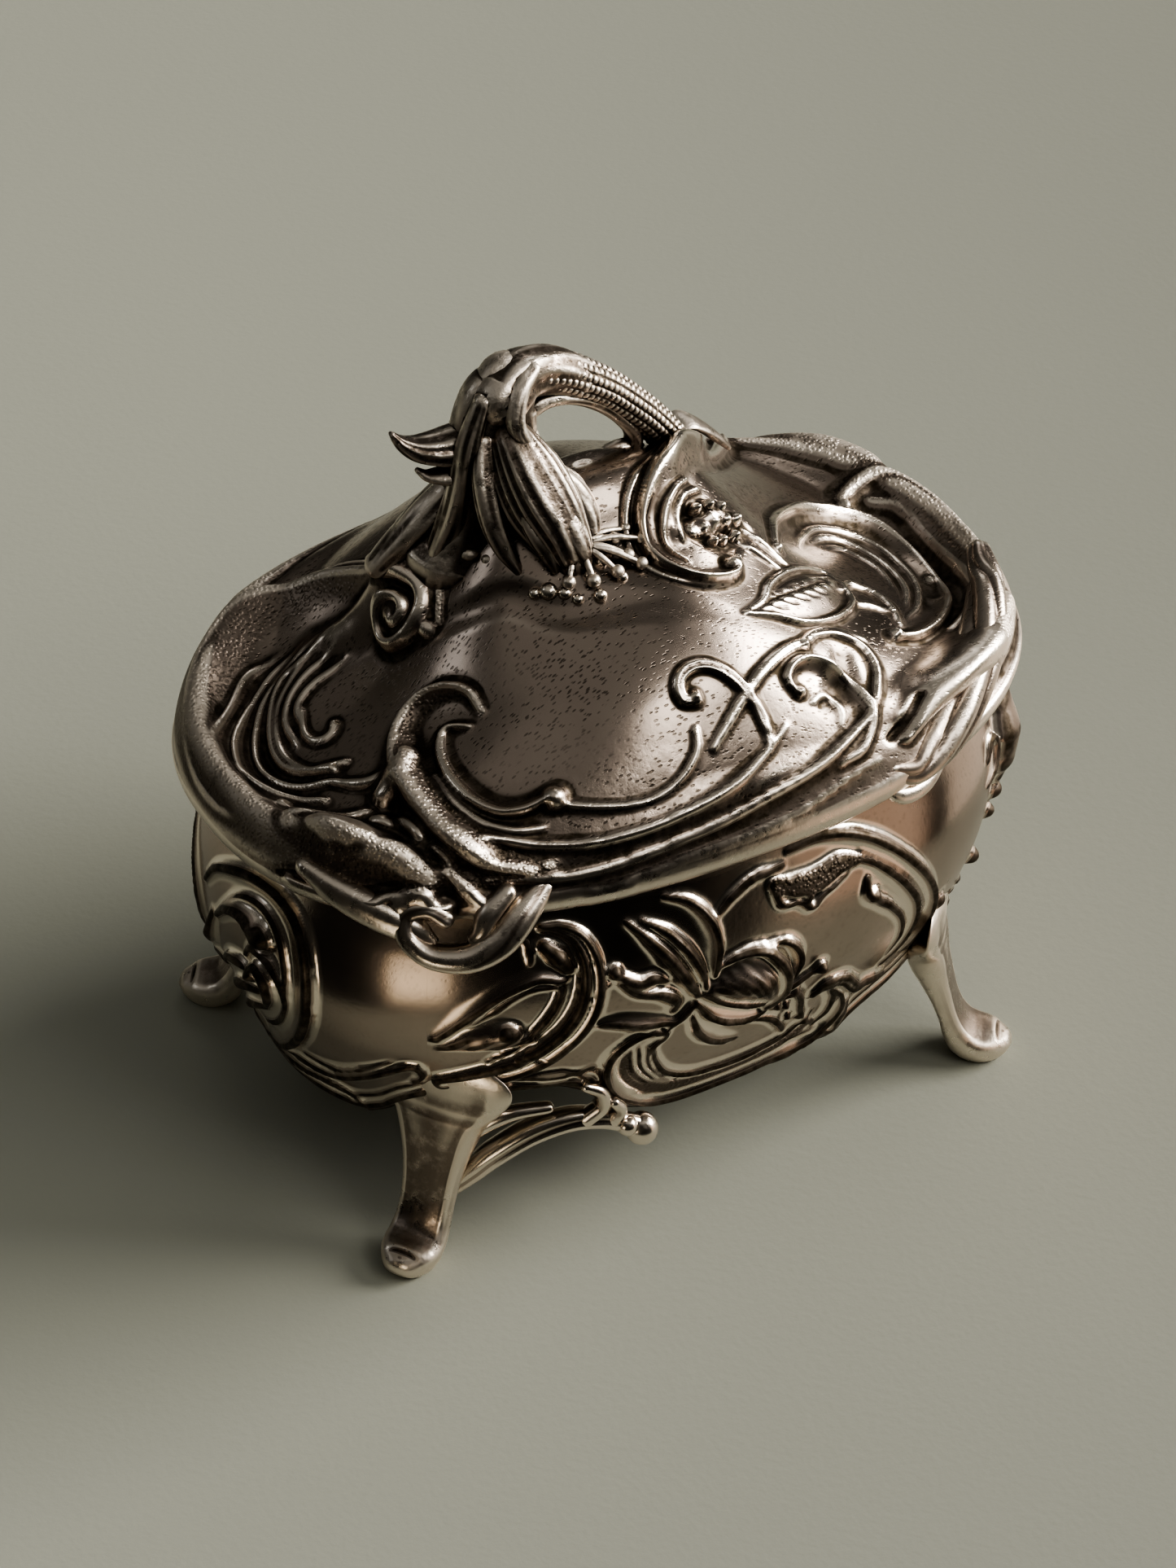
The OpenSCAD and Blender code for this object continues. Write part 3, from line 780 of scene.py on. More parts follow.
def left_lobe(r):
    """The left lobe's rolled edge, its sweep of flutes and the volute at their inner end."""
    r.stroke(outline(116, 216, 4.4), [2.4, 4.2, 4.6, 4.6, 3.4], [1.2, 2.8, 3.2, 3.2, 2.4], grain=.9)
    r.stroke([(-66, -21), (-71, -12), (-73.4, -4), (-73.2, 4), (-70.6, 12), (-66, 19), (-61, 25),
              (-56, 28.8), (-51, 31), (-45.6, 30.6), (-40.6, 27), (-36.8, 21.6), (-34.2, 15), (-33, 9)],
             [1.8, 2.6, 3, 3.4, 3.8, 4.2, 4.2, 4, 3.6, 3.2, 2.8, 2.4],
             [1.8, 2.8, 3.2, 3.2, 3.2, 3.2, 3.2, 3.2, 3.2, 3.2, 3.4, 3.6], lipped, grain=.5)
    r.stroke([(-38.4, 31), (-35, 26), (-32.3, 18), (-30.6, 9), (-30.8, 2), (-33.6, -2.2)],
             [1, 1.4, 1.4, 1.2, .8], [1.4, 2.2, 2.6, 2.2, 1], grain=.8)
    for k, (x, top) in enumerate(((-70.4, 23.2), (-67.6, 21.4), (-64.8, 19.2), (-62, 17))):
        lean = .9 * k
        r.stroke([(x + 6.4 + .3 * k, -15.4 + 2.2 * k), (x + 1.6, -7 + lean), (x, 1 + .4 * lean),
                  (x + 2.2, 9), (x + 7, 15.4), (x + 12.6, top - 1.4), (x + 19, top - .4 * k)],
                 [.8, 1.2, 1.4, 1.5, 1.4, 1, .4], [1.6, 2, 2.2, 2.2, 2, 1.4, .2], lipped)
    r.bead((-66.4, -11), 1.2, 2.4)
    r.stroke([(-57.2, -9), (-60.2, -5), (-61.6, 2), (-60, 8), (-56.6, 12.6), (-51.6, 15.2), (-46, 15.6)],
             [.9, 1, 1.1, 1.1, 1, .8, .3], [1.8, 1.6, 1.5, 1.4, 1.2, .8, .1])
    r.bead((-57, -9), 1.1, 2)
    r.stroke([(-58.6, 2), (-58.4, 7), (-55.4, 11), (-50.4, 12.8), (-44.6, 12.4)], [.5, .8, .9, .8, .3],
             [.5, 1.1, 1.2, 1, .1])
    r.stroke([(-56.4, 4), (-55.4, 8), (-51.8, 10), (-46, 9.6), (-43.4, 8.6)], [.5, .8, .8, .7, .3],
             [.5, 1, 1, .7, .1])
    r.stroke([(-54.8, 7), (-56.6, 3), (-56.2, -.2), (-54, -1.5), (-52.2, -.4)], [.5, .7, .8, .9],
             [.7, 1.1, 1.2, 1.4])
    r.bead((-52.2, 0), 1, 1.7)
    r.stroke([(-33, 12), (-32.2, 8)] + spiral_in((-36.2, 4.4), 4.4, 1.45),
             [2, 1.8, 1.6, 1.4, 1.1], [3.6, 3.4, 3.6, 4, 4.4])
    r.bead((-36.4, 4.4), 3.6, 3.6)
    r.bead((-35, -1), 2, 2.2)


def spiral_in(centre, size, turns):
    """Plan points of a spiral that winds in clockwise towards centre."""
    points = []
    for k in np.linspace(0, 1, 17):
        r, a = size * (1 - .82 * k), -2 * math.pi * turns * k
        points.append((centre[0] + r * math.cos(a), centre[1] + r * math.sin(a)))
    return points


def front_left_corner(r):
    """Bosses and husks over the front left corner."""
    r.stroke([(-58, -11.5), (-55, -15.6), (-51.4, -17), (-49, -15.4)], [.8, 1.2, 1.2, .6],
             [1, 1.4, 1.4, .8])
    r.stroke([(-53.4, -20.6), (-50.4, -20), (-47.6, -18)], [2.2, 3.2, 2.4], [2.2, 3.6, 2.4])
    r.stroke([(-67, -20), (-63, -23), (-59.6, -27), (-58.6, -30)], [2.4, 3.6, 3.6, 2],
             [2.2, 3.8, 3.8, 2.2])
    r.stroke([(-68.6, -13), (-65, -15.6), (-61.4, -18.4), (-57, -20.4)], [1.6, 2.2, 2, 1.2],
             [2.2, 3, 2.6, 1.6], lipped, lip=-1)
    r.stroke([(-56.6, -23.6), (-53.6, -27), (-52.4, -31), (-54.6, -33.8)], [1.2, 1.7, 1.6, 1],
             [1.8, 2.6, 2.4, 1.4])
    r.stroke([(-50.6, -25), (-50.2, -30), (-48.4, -35.4)], [1.3, 1.6, 1], [1.4, 2, 1.2], lipped)
    r.stroke([(-71, -23), (-67.4, -28.5), (-62.6, -32.6), (-57.6, -34.6)], [2.2, 2.8, 2.8, 1.8],
             [3, 3.6, 3.6, 2.4], lipped, lip=-1)
    r.stroke([(-62, -38), (-58.6, -36.2), (-55.2, -38), (-53.6, -41.4)], [1.6, 2.2, 2, 1.4],
             [2.2, 3, 2.8, 2])
    r.stroke([(-56.4, -34.6), (-52, -37.4), (-49.2, -41), (-47, -44)], [1.6, 2.2, 2.4, 1.8],
             [2.2, 2.8, 3, 2.4], lipped)


def s_scroll(r):
    """The heavy S-scroll at the front left."""
    r.stroke([(-35, -19.6), (-35.4, -15.6), (-38, -12.4), (-41.4, -11.4), (-45, -13), (-47.6, -17),
              (-48.4, -22.4), (-48, -29), (-46.4, -35), (-43.4, -39.4), (-38.4, -43)],
             [.9, 1.6, 2.2, 2.6, 3, 3.3, 3.4, 3.4, 3.1, 2.6, 1.8],
             [1.2, 2.2, 3, 3.2, 3.4, 3.4, 3.4, 3.4, 3.2, 2.8, 2.2], lipped, lip=-1, grain=.6)
    r.stroke([(-37.8, -20.6), (-40.4, -18.6), (-42.4, -21), (-43, -25.5), (-42, -30.6), (-39.4, -34.6),
              (-35.6, -36.6), (-32, -37.2)], [.8, 1.3, 1.6, 1.8, 1.9, 1.9, 1.8, 1.5],
             [1.4, 1.9, 2.2, 2.4, 2.6, 2.7, 2.8, 2.8], lipped, lip=-1)
    r.bead((-31, -38.4), 2.2, 3.4)
    r.stroke([(-45.4, -24), (-44.8, -30), (-42.6, -35), (-39, -38.6), (-34.6, -40.6)],
             [.6, .9, .9, .8, .5], [1.4, 1.7, 1.7, 1.5, .8])


def front_sweeps(r):
    """Long sweeps along the front edge."""
    r.stroke([(-31, -39.6), (-26.4, -42), (-20, -44.2), (-14, -44.9), (-9, -44.1), (-5.6, -42.2),
              (-4.9, -40.2)], [1.1, 1, .9, .9, .9, 1, .8], [1.4, 1.1, 1, 1, 1, 1.3, 1], lipped)
    r.stroke([(-43, -38), (-37, -41.8), (-29, -45), (-19, -46.9), (-9, -47.2), (-1, -46.6), (5, -45.2),
              (9, -43.6), (11.4, -42.4)], [1.4, 1.3, 1.2, 1.1, 1.1, 1.1, 1.1, 1.1, .5],
             [1.8, 1.5, 1.4, 1.3, 1.3, 1.3, 1.4, 1.4, .8], lipped)
    r.stroke([(-45, -41.6), (-39, -44.4), (-30, -47.2), (-20, -48.6), (-8, -49.1), (2, -48.7),
              (12, -47.6), (20, -45.6), (27.5, -42.4), (32, -38.2), (34.2, -34), (33, -30.2),
              (28.4, -28.6), (22.6, -30)],
             [1.2, 1.1, 1, 1, 1, 1.1, 1.2, 1.3, 1.4, 1.4, 1.3, 1.2, 1, .6],
             [1.4, 1.2, 1.2, 1.2, 1.2, 1.3, 1.4, 1.5, 1.7, 1.9, 1.9, 1.8, 1.4, .8], lipped)
    r.stroke([(-3.4, -37.2), (-5.8, -36.4), (-5.2, -34.2), (-2.4, -33.2), (1, -33.8), (4, -35.8),
              (6.4, -38.8), (7.4, -42), (6.8, -44.6)], [.9, 1, 1.1, 1.1, 1.1, 1.1, 1, .9, .6],
             [1.6, 1.3, 1.3, 1.3, 1.3, 1.3, 1.2, 1.1, .6], reeded)
    r.bead((-3.5, -36.6), 1, 1.8)
    r.stroke([(-3, -42.6), (2, -40), (6, -37.8), (12, -34.8), (17, -32.6), (21, -31.2), (25, -29),
              (30, -28), (34.6, -29)], [.7, .9, 1, 1, 1, .9, .8, .7, .5],
             [.7, 1, 1.2, 1.2, 1.2, 1.2, 1, .9, .5], reeded)
    r.bead((20.6, -31.8), 1, 1.8)
    r.stroke([(-30, -49.2), (-10, -50.1), (10, -49.8), (28, -46.4)], [.5, .6, .6, .4], [.6, .7, .7, .4])


def right_front(r):
    """Crossing tendrils at the front right of the belly."""
    r.stroke([(15.6, -38.8), (14.8, -36.8), (17.2, -35.2), (20.6, -35), (24.2, -36.6), (26.8, -39.4),
              (27.2, -42.2), (24.4, -45), (20, -46.6)], [.9, 1.3, 1.7, 2, 2.2, 2.2, 2, 1.6, .9],
             [1.6, 1.8, 2, 2.2, 2.3, 2.2, 2, 1.6, .9], lipped)
    r.bead((15.9, -38.6), 1, 1.9)
    r.stroke([(18, -40), (21, -39), (23, -41), (22, -43)], [.6, .8, .8, .5], [.6, .8, .8, .4])


def upper_right(r):
    """The C-scroll with its fruit and the flutes behind it."""
    r.stroke([(40, 36), (34, 25), (27.4, 14.6), (22, 7), (18.2, 2.8), (14.2, .6), (10.6, -2), (6.4, -4.4),
              (3, -8), (1.6, -12.6), (2.4, -16), (5.8, -18.9), (10, -19.4), (13.8, -18.2), (15, -16.4)],
             [1.2, 1.8, 2.2, 2.6, 2.8, 3, 3, 3, 2.9, 2.7, 2.4, 2.1, 1.9, 1.7, 1.3],
             [1.4, 2.2, 2.8, 3.2, 3.4, 3.6, 3.6, 3.5, 3.3, 3.1, 2.9, 2.8, 2.8, 2.8, 2.6], lipped, lip=-1)
    r.bead((14.2, -17.2), 1.4, 2.4)
    r.stroke([(15, 5), (9, .4), (4, -2.6), (-.6, -7), (-2.2, -12), (-.8, -16.4), (2.6, -19.4), (7, -21.2),
              (11.4, -20.8), (15, -18.8), (17, -15.4)], [.5, .6, .7, .8, .8, .8, .7, .7, .6, .6, .5],
             [.6, .9, 1, 1, 1, 1, .9, .9, .9, .8, .6])
    r.stroke([(12, -4.6), (7.4, -7), (4.8, -10.4), (4.6, -13.4), (6.6, -15.8)], [.8, 1, 1, .9, .6],
             [1.6, 1.5, 1.4, 1.2, .8], lipped, lip=-1)
    r.stroke([(14, -5.4), (10, -7), (7.8, -9.8), (7.4, -12.6)], [.6, .8, .8, .5], [1.4, 1.2, 1, .6])
    r.stroke([(33, 32), (28, 22), (24, 15), (20, 9.6), (15.6, 6.2)], [1, 1.7, 1.7, 1.4, .7],
             [1.2, 2.2, 2.4, 1.9, .8], lipped)
    r.stroke([(48, 42), (44, 34), (38.4, 26), (32, 17.6), (26.2, 10.8), (21, 5.8)],
             [1.2, 2, 2.2, 2, 1.5, .8], [1.8, 2.8, 3, 2.6, 2, 1], lipped, lip=-1)
    r.stroke([(46, 42), (53, 40), (59.4, 35), (65, 28), (69, 20)], [1.2, 2.2, 2.6, 2.4, 1.4],
             [1.4, 2.4, 2.8, 2.6, 1.4], lipped, grain=.5)
    r.stroke([(50, 37), (56, 33.6), (61, 28), (64.6, 22)], [.6, 1, 1.1, .6], [.8, 1.6, 1.6, .8])
    r.stroke([(43, 44), (45.4, 39), (42.6, 33)], [1.4, 1.8, 1], [1.6, 2, 1])
    r.stroke([(10.6, -11), (14, -10.4), (18, -9.4)], [1.8, 2.6, 1.6], [1.8, 2.4, 1.4])
    for k, (x, y) in enumerate([(12, -8.6), (14.4, -8), (16.8, -7.8), (12.6, -11), (15, -10.4),
                                (17.4, -9.8), (13.4, -13), (16, -12.4), (18.8, -11.4)]):
        r.bead((x, y), 1.15, 2.9 - .12 * (k % 3))
    r.bead((20.5, -8.5), 1.1, 1.8)
    r.bead((19.8, -11.4), .8, 1.4)
    r.stroke([(18, -12), (22, -14), (26.4, -16)], [.5, .5, .4], [.8, .8, .5])
    r.stroke([(22, -9.6), (25, -11.6), (28.4, -14.4)], [.5, .5, .4], [.8, .8, .5])


def embossed_leaf(r):
    """A veined leaf on a thin stalk."""
    top = [(12, -26.4), (17, -23.8), (20.4, -20), (26, -16.2), (32, -13.2), (36.6, -11.6)]
    low = [(12, -26.4), (17.6, -26.6), (22.4, -27.4), (27.4, -26.6), (33, -24), (37.4, -20),
           (38.6, -15.6), (36.6, -11.6)]
    r.stroke([(14, -25.8), (20, -23.6), (26, -21), (32, -18), (36.4, -14.6)], [1.2, 3.6, 5.4, 5.8, 3],
             [.5, 1, 1.3, 1.4, 1], soft)
    r.stroke(top, [.4, .6, .6, .6, .5], [.7, 1.1, 1.2, 1.2, .9])
    r.stroke(low, [.4, .6, .7, .7, .7, .6], [.7, 1.3, 1.4, 1.5, 1.5, 1.1])
    r.cut([(13.4, -26), (20, -22.8), (27, -19.6), (33.6, -16)], [.4, .5, .5, .4], .8)
    for k in range(7):
        x, y = 17.4 + 2.7 * k, -24.2 + 1.25 * k
        r.cut([(x, y), (x + 1.2, y + 1.5), (x + 3, y + 2.5)], [.3, .35, .2], .5)
        r.cut([(x, y), (x + 2.4, y - .6), (x + 4.4, y - .2)], [.3, .35, .2], .5)
    r.stroke([(37.4, -16.4), (40.6, -13.6), (44.4, -14.4), (46.4, -18), (45.4, -24)],
             [.6, .8, .8, .8, .5], [.9, 1.2, 1.2, 1.1, .6], reeded)
    r.stroke([(38.4, -19.8), (42, -19.6), (45.6, -20.4)], [.5, .6, .4], [.8, .9, .5])


def right_lobe(r):
    """The right lobe's rolled edge and curls."""
    r.stroke(outline(-26, 50, 4.8), [3, 4.6, 4.8, 4.6, 2.6], [2.2, 3.4, 3.6, 3.4, 1.4], grain=.9)
    r.stroke([(27.8, -10.4), (30, -6), (33.8, 0), (38.6, 5), (44.6, 9), (52, 10.2), (58, 8.2), (61.4, 3),
              (62, -4), (60.4, -12), (57, -18), (52.4, -22.6), (47, -26), (42.6, -27.2)],
             [.9, 1.2, 1.6, 1.9, 2.2, 2.3, 2.4, 2.4, 2.4, 2.4, 2.3, 2.1, 1.8, 1.3],
             [1.2, 1.6, 2, 2.4, 2.7, 2.9, 3, 3, 3, 3, 2.8, 2.6, 2.4, 2], lipped)
    r.bead((27.7, -10.6), 1, 1.6)
    r.bead((41.8, -27.4), 1.4, 2.4)
    r.stroke([(36, -5), (40, .6), (45.6, 5.4), (52, 6.4), (56.8, 3.4), (58.2, -2.4), (57, -10),
              (52.8, -17.4), (48, -21.6)], [.4, .8, 1, 1, 1, 1, 1, .8, .4],
             [.3, .9, 1.2, 1.2, 1.2, 1.2, 1.2, 1, .3], lipped)
    r.stroke([(41, .6), (46, 3.8), (50.4, 4), (54, .4), (55.2, -5), (54, -12), (50, -18.4)],
             [.4, .7, .8, .8, .8, .7, .4], [.2, .8, .9, .9, .9, .8, .2])
    r.stroke([(44.4, .6), (48.4, 1.6), (51.6, -1.4), (52.8, -6), (51.4, -13)], [.4, .6, .7, .6, .3],
             [.2, .7, .7, .6, .1])
    r.bead((61, -9), .9, 2.8)
    r.stroke([(55.6, 12.6), (56.6, 16), (60, 19.4), (65, 20.4), (70, 17.4), (73.4, 10), (74, 1),
              (72.6, -8), (69.4, -15.4)], [1.2, 1.9, 2.6, 3.2, 3.6, 3.8, 3.8, 3.4, 2.4],
             [2.2, 3.2, 3.8, 4.2, 4.2, 4, 4, 3.6, 3], lipped, lip=-1, grain=.5)
    r.bead((56.4, 13.4), 1.6, 2.8)
    r.stroke([(63, 16.6), (67, 12), (68.8, 3), (68.2, -7), (65.4, -15.6), (61, -20.8), (55, -25)],
             [.8, 1.2, 1.3, 1.3, 1.2, 1.1, .8], [1.2, 1.6, 1.7, 1.7, 1.7, 1.6, 1.2], lipped, lip=-1)
    r.stroke([(66, -21.6), (61, -26.6), (55, -31), (49.4, -34), (43.6, -37.4), (38, -41), (34.4, -43.6)],
             [2.6, 3.8, 4.2, 4, 3.6, 3, 2], [2.2, 3, 3.2, 3.2, 3, 2.6, 2], lipped)
    r.cut([(31.4, -44.4), (34.6, -42.6), (38.4, -39.2)], [.8, 1.1, .7], 2.2)


def build_lid():
    """The lid's casting: dome with relief, curled rim, skirt and inside."""
    relief = lid_relief()
    base = relief.p.reshape(relief.shape + (3,))
    fade = np.clip(np.linspace(0, 1, LID_ROWS) / CREST_FADE, 0, 1)[:, None, None]
    outer = base + (relief.surface() - base) * fade
    rim = outer[-1]
    turn = around(LID_TURN)
    to_skirt = np.array((0, 0, SKIRT_Z - CASE_TOP))
    under = case_point(turn, CASE_TOP, -.4) + to_skirt
    curl = []
    for v in np.linspace(0, 1, 10)[1:]:
        row = rim + (under - rim) * v**2.2
        row[:, 2] = rim[:, 2] + (under[:, 2] - rim[:, 2]) * (1 - (1 - v)**1.7)
        curl.append(row)
    inner = [case_point(turn, CASE_TOP, WALL_T) + to_skirt]
    inner += [dome_point(turn, s, LID_T, LID_T) for s in np.linspace(.93, .03, 30)]
    part = Part()
    rows = np.concatenate([outer, np.array(curl), np.array(inner)])
    grain = np.zeros(rows.shape[:2])
    grain[:LID_ROWS] = relief.grain.reshape(relief.shape)
    part.grid(rows, wrap_columns=True, grain=grain, caps=(True, True))
    corner_scrolls(part)
    neck_ornament(part)
    x, y = part.arrays()[0][:, :2].T
    outwards = (np.abs(x / LID_A)**OVAL_N + np.abs(y / LID_B)**OVAL_N)**(1 / OVAL_N)
    part.age = RIM_AGE * np.clip((outwards - .74) / .12, 0, 1)
    return part


def reeds(count, deep, twist):
    """Rounded reeds that wind round a tube."""
    return lambda g, t: 1 + deep * (2 * np.abs(np.cos(.5 * count * g + twist * t)) - 1.1)


def corner_scrolls(part):
    """Scroll ends that hang over the case's front corners."""
    part.tube([(-36.5, -44.6, 82.2, 1.8, 2), (-41, -46.2, 79.4, 2.6, 2.8),
               (-45.6, -46.8, 75.6, 2.7, 3), (-51, -45.6, 73.2, 2.4, 2.8),
               (-56.4, -42.6, 73.6, 2.1, 2.4), (-59.2, -39.4, 76.6, 1.8, 2),
               (-58.6, -38.2, 80, 1.6, 1.7), (-55.6, -40, 81.4, 1.4, 1.5),
               (-53.2, -41.8, 79.6, 1.5, 1.5)], ref=(.5, .86, 0), step=.4, sides=40,
              shape=reeds(3, .07, 2))
    part.tube([(-43, -44.2, 83.2, 1.6, 1.8), (-46.6, -44.6, 80.4, 2, 2.2), (-48.2, -45, 77.6, 1.6, 1.8),
               (-49.6, -44.6, 76, .9, 1)], ref=(.5, .86, 0))
    part.tube([(-70, -24, 84.4, 1.8, 2), (-66.6, -29.6, 82, 2.8, 2.8), (-62, -34.6, 79.4, 3.1, 3),
               (-57.8, -38.4, 77, 2.6, 2.6), (-55.6, -40.4, 74.6, 1.7, 1.8)], ref=(.5, .86, 0),
              shape=reeds(3, .06, 1))
    part.tube([(30.6, -45.8, 82.6, 1.6, 1.8), (35.4, -44.6, 80.4, 3.4, 3.6), (41, -42, 81, 4.6, 4.6),
               (47.4, -38.4, 83.2, 4.9, 4.9), (53.6, -34, 86, 4.6, 4.7), (59.6, -28.6, 89, 4, 4.2),
               (65, -21, 92, 3.2, 3.4), (68.4, -13, 93.4, 2, 2.2)], ref=(.5, .86, 0), step=.3, sides=90,
              shape=reeds(5, .085, 2.6))
    part.tube([(29.4, -46.6, 79, 1, 1.2), (33, -46.4, 76.6, 2, 2.2), (38, -44.8, 76.4, 2.2, 2.4),
               (43, -42.4, 78.4, 1.6, 1.8)], ref=(.5, .86, 0))


def neck_ornament(part):
    """Small pearls and the bloom's tips where they rest on the dome."""
    for x, y, r in ((-18.5, -13, 1.6), (-20.6, -12, 1.1), (-16.2, -14.4, 1.2), (-13, -11.5, 1.3),
                    (-11, -13.6, 1.1), (-8, -12.2, 1.2), (-5.5, -11, 1.1), (-6, -16, 1),
                    (-11, -17.4, 1.2), (-14.6, -16.2, 1)):
        z = on_dome([(x, y)])[0, 2]
        part.ball((x, y, z + r * .3), r)


# ---- The walls ----

# A wall's lower edge: share of the way from its middle to its end, and height.
LONG_EDGE = np.array([(-1, 34), (-.86, 33), (-.74, 34.4), (-.6, 34.4), (-.52, 32), (-.45, 27.5),
                      (-.36, 22.8), (-.26, 21), (-.12, 20.2), (.1, 20.4), (.3, 21.4), (.42, 21.2),
                      (.5, 20), (.56, 22.4), (.66, 24.2), (.76, 25.2), (.88, 29), (1, 34)])
END_EDGE = np.array([(-1, 33.6), (-.84, 29.6), (-.7, 24.6), (-.58, 22.2), (-.4, 21.5), (0, 20.6),
                     (.4, 21.5), (.58, 22.2), (.7, 24.6), (.84, 29.6), (1, 33.6)])
WALL_ROWS = 120
BULGE, BULGE_Z, BULGE_HALF = 1.6, 55.0, 20.0  # the walls' belly: how far out, where, and how tall


def wall_part(middle, half, edge, columns, ornament):
    """A cast wall that reaches half mm to each side of middle, measured along the case's outside."""
    lean = np.linspace(-1, 1, columns)
    low = smooth_lookup(edge, lean)
    v = np.linspace(0, 1, WALL_ROWS)[:, None]
    z = low[None] + (CASE_TOP - low[None]) * v
    run = lean[None] * half + 0 * v
    turn = np.interp(run + middle, RUN, TURN)
    grid = case_point(turn, z)
    relief = Relief(grid, grid_normals(grid[:, ::-1], False)[:, ::-1], lambda sz: on_wall(sz, middle))
    relief.n = relief.n * np.sign((relief.n * relief.p * np.array((1, 1, 0))).sum(1, keepdims=True))
    ornament(relief)
    height = relief.p[:, 2]
    relief.form += BULGE * np.clip(np.cos((height - BULGE_Z) / BULGE_HALF * math.pi / 2), 0, 1)**2
    edge_path = np.stack([run[0][::6], low[::6] + 1.1], 1)
    relief.stroke(edge_path, [1.15], [1.1])
    relief.stroke(edge_path + np.array((0, 2.9)), [.6, .8, .8, .6], [.5, .7, .7, .5])
    lip = np.clip((CASE_TOP - z) / 2.5, 0, 1)
    outer = relief.surface(lip)
    inner = case_point(turn, z, WALL_T)
    coarse = np.concatenate([inner[::6], inner[-1:]])
    middle_line, half_gap = (outer[0] + inner[0]) / 2, (outer[0] - inner[0]) / 2
    round_edge = [middle_line + half_gap * math.sin(a) - np.array((0, 0, .8)) * math.cos(a)
                  for a in (-1.1, -.55, 0, .55, 1.1)]
    rows = np.concatenate([np.array(round_edge), outer, coarse[::-1]])
    grain = np.zeros(rows.shape[:2])
    grain[len(round_edge):len(round_edge) + WALL_ROWS] = relief.grain.reshape(relief.shape)
    part = Part()
    part.grid(rows, wrap_rows=True, grain=grain)
    n = rows.shape[0]
    for col, forward in ((0, True), (columns - 1, False)):
        ring = rows[:, col]
        i = part.count + np.arange(n)
        j = np.roll(i, -1)
        hub = np.full(n, part.count + n)
        part.points.append(np.vstack([ring, ring.mean(0)[None]]))
        part.grain.append(np.zeros(n + 1))
        part.tris.append(np.stack([i, j, hub] if forward else [j, i, hub], -1))
        part.count += n + 1
    return part


def long_ornament(r):
    """Ornament of a long wall. Along the wall, 0 is its middle."""
    reed_scroll(r)
    lily(r)
    upper_sweep(r)
    apron_sweep(r)


def reed_scroll(r):
    """A reeded scroll with a bud inside, on the left."""
    r.stroke([(-37, 72), (-34, 71.6), (-30.8, 69.6), (-28.8, 65.4), (-28.4, 60), (-29.4, 54.6),
              (-32, 49.6), (-36, 45.4), (-41, 42.2), (-47, 39.8), (-54, 37.6)],
             [.8, 1.4, 2, 2.4, 2.7, 2.9, 3, 3, 2.9, 2.6, 2],
             [1, 1.8, 2.4, 2.5, 2.5, 2.4, 2.3, 2.2, 2, 1.8, 1.4], reeded)
    r.stroke([(-36.4, 68.4), (-34.4, 66.6), (-32.4, 64)], [1.4, 1.9, 1.4], [1.6, 2.6, 1.8])
    r.stroke([(-39.6, 69.6), (-38.8, 67), (-38.8, 65)], [.5, .7, .4], [.7, 1, .5])
    r.stroke([(-33.4, 62.2), (-38, 63), (-43.6, 60.8), (-49, 56.4), (-54.6, 50.4)],
             [1.2, 1.6, 1.8, 1.9, 1.6], [1.6, 1.6, 1.5, 1.3, .9], lipped)
    r.stroke([(-34.4, 60.6), (-39.4, 60.2), (-45, 56.4), (-49.4, 52.6)], [.6, .7, .7, .4],
             [1.2, 1.1, 1, .4])
    r.stroke([(-33.6, 60), (-34.6, 56.4), (-37.4, 51.6), (-41.4, 47.2), (-46, 43.8)],
             [.6, .8, .8, .8, .5], [1.4, 1.5, 1.4, 1.3, .7])
    r.stroke([(-53.6, 47.6), (-49, 49.4), (-43, 50), (-38.4, 49)], [1.6, 4, 4.6, 1.4],
             [.8, 2, 2.6, 1], soft)
    r.bead((-42.6, 51), 2.6, 2.7)
    r.cut([(-54, 46.6), (-47, 46.8), (-39.6, 48)], [.4, .6, .4], 1)
    for k in range(4):
        r.cut([(-51.6 + 3.4 * k, 46.8), (-49.4 + 3.4 * k, 44.8), (-46 + 3.4 * k, 44.2)], [.3, .4, .3], .7)
        r.cut([(-51 + 3.4 * k, 47.6), (-48.6 + 3.4 * k, 50), (-45.4 + 3.4 * k, 51)], [.25, .35, .25], .5)
    r.stroke([(-55, 36.4), (-48, 38.2), (-42, 38.4), (-36, 37.4), (-30, 37.2), (-26.6, 37.8)],
             [.6, .8, .8, .8, .7, .5], [.6, 1, 1, 1, 1, .5])


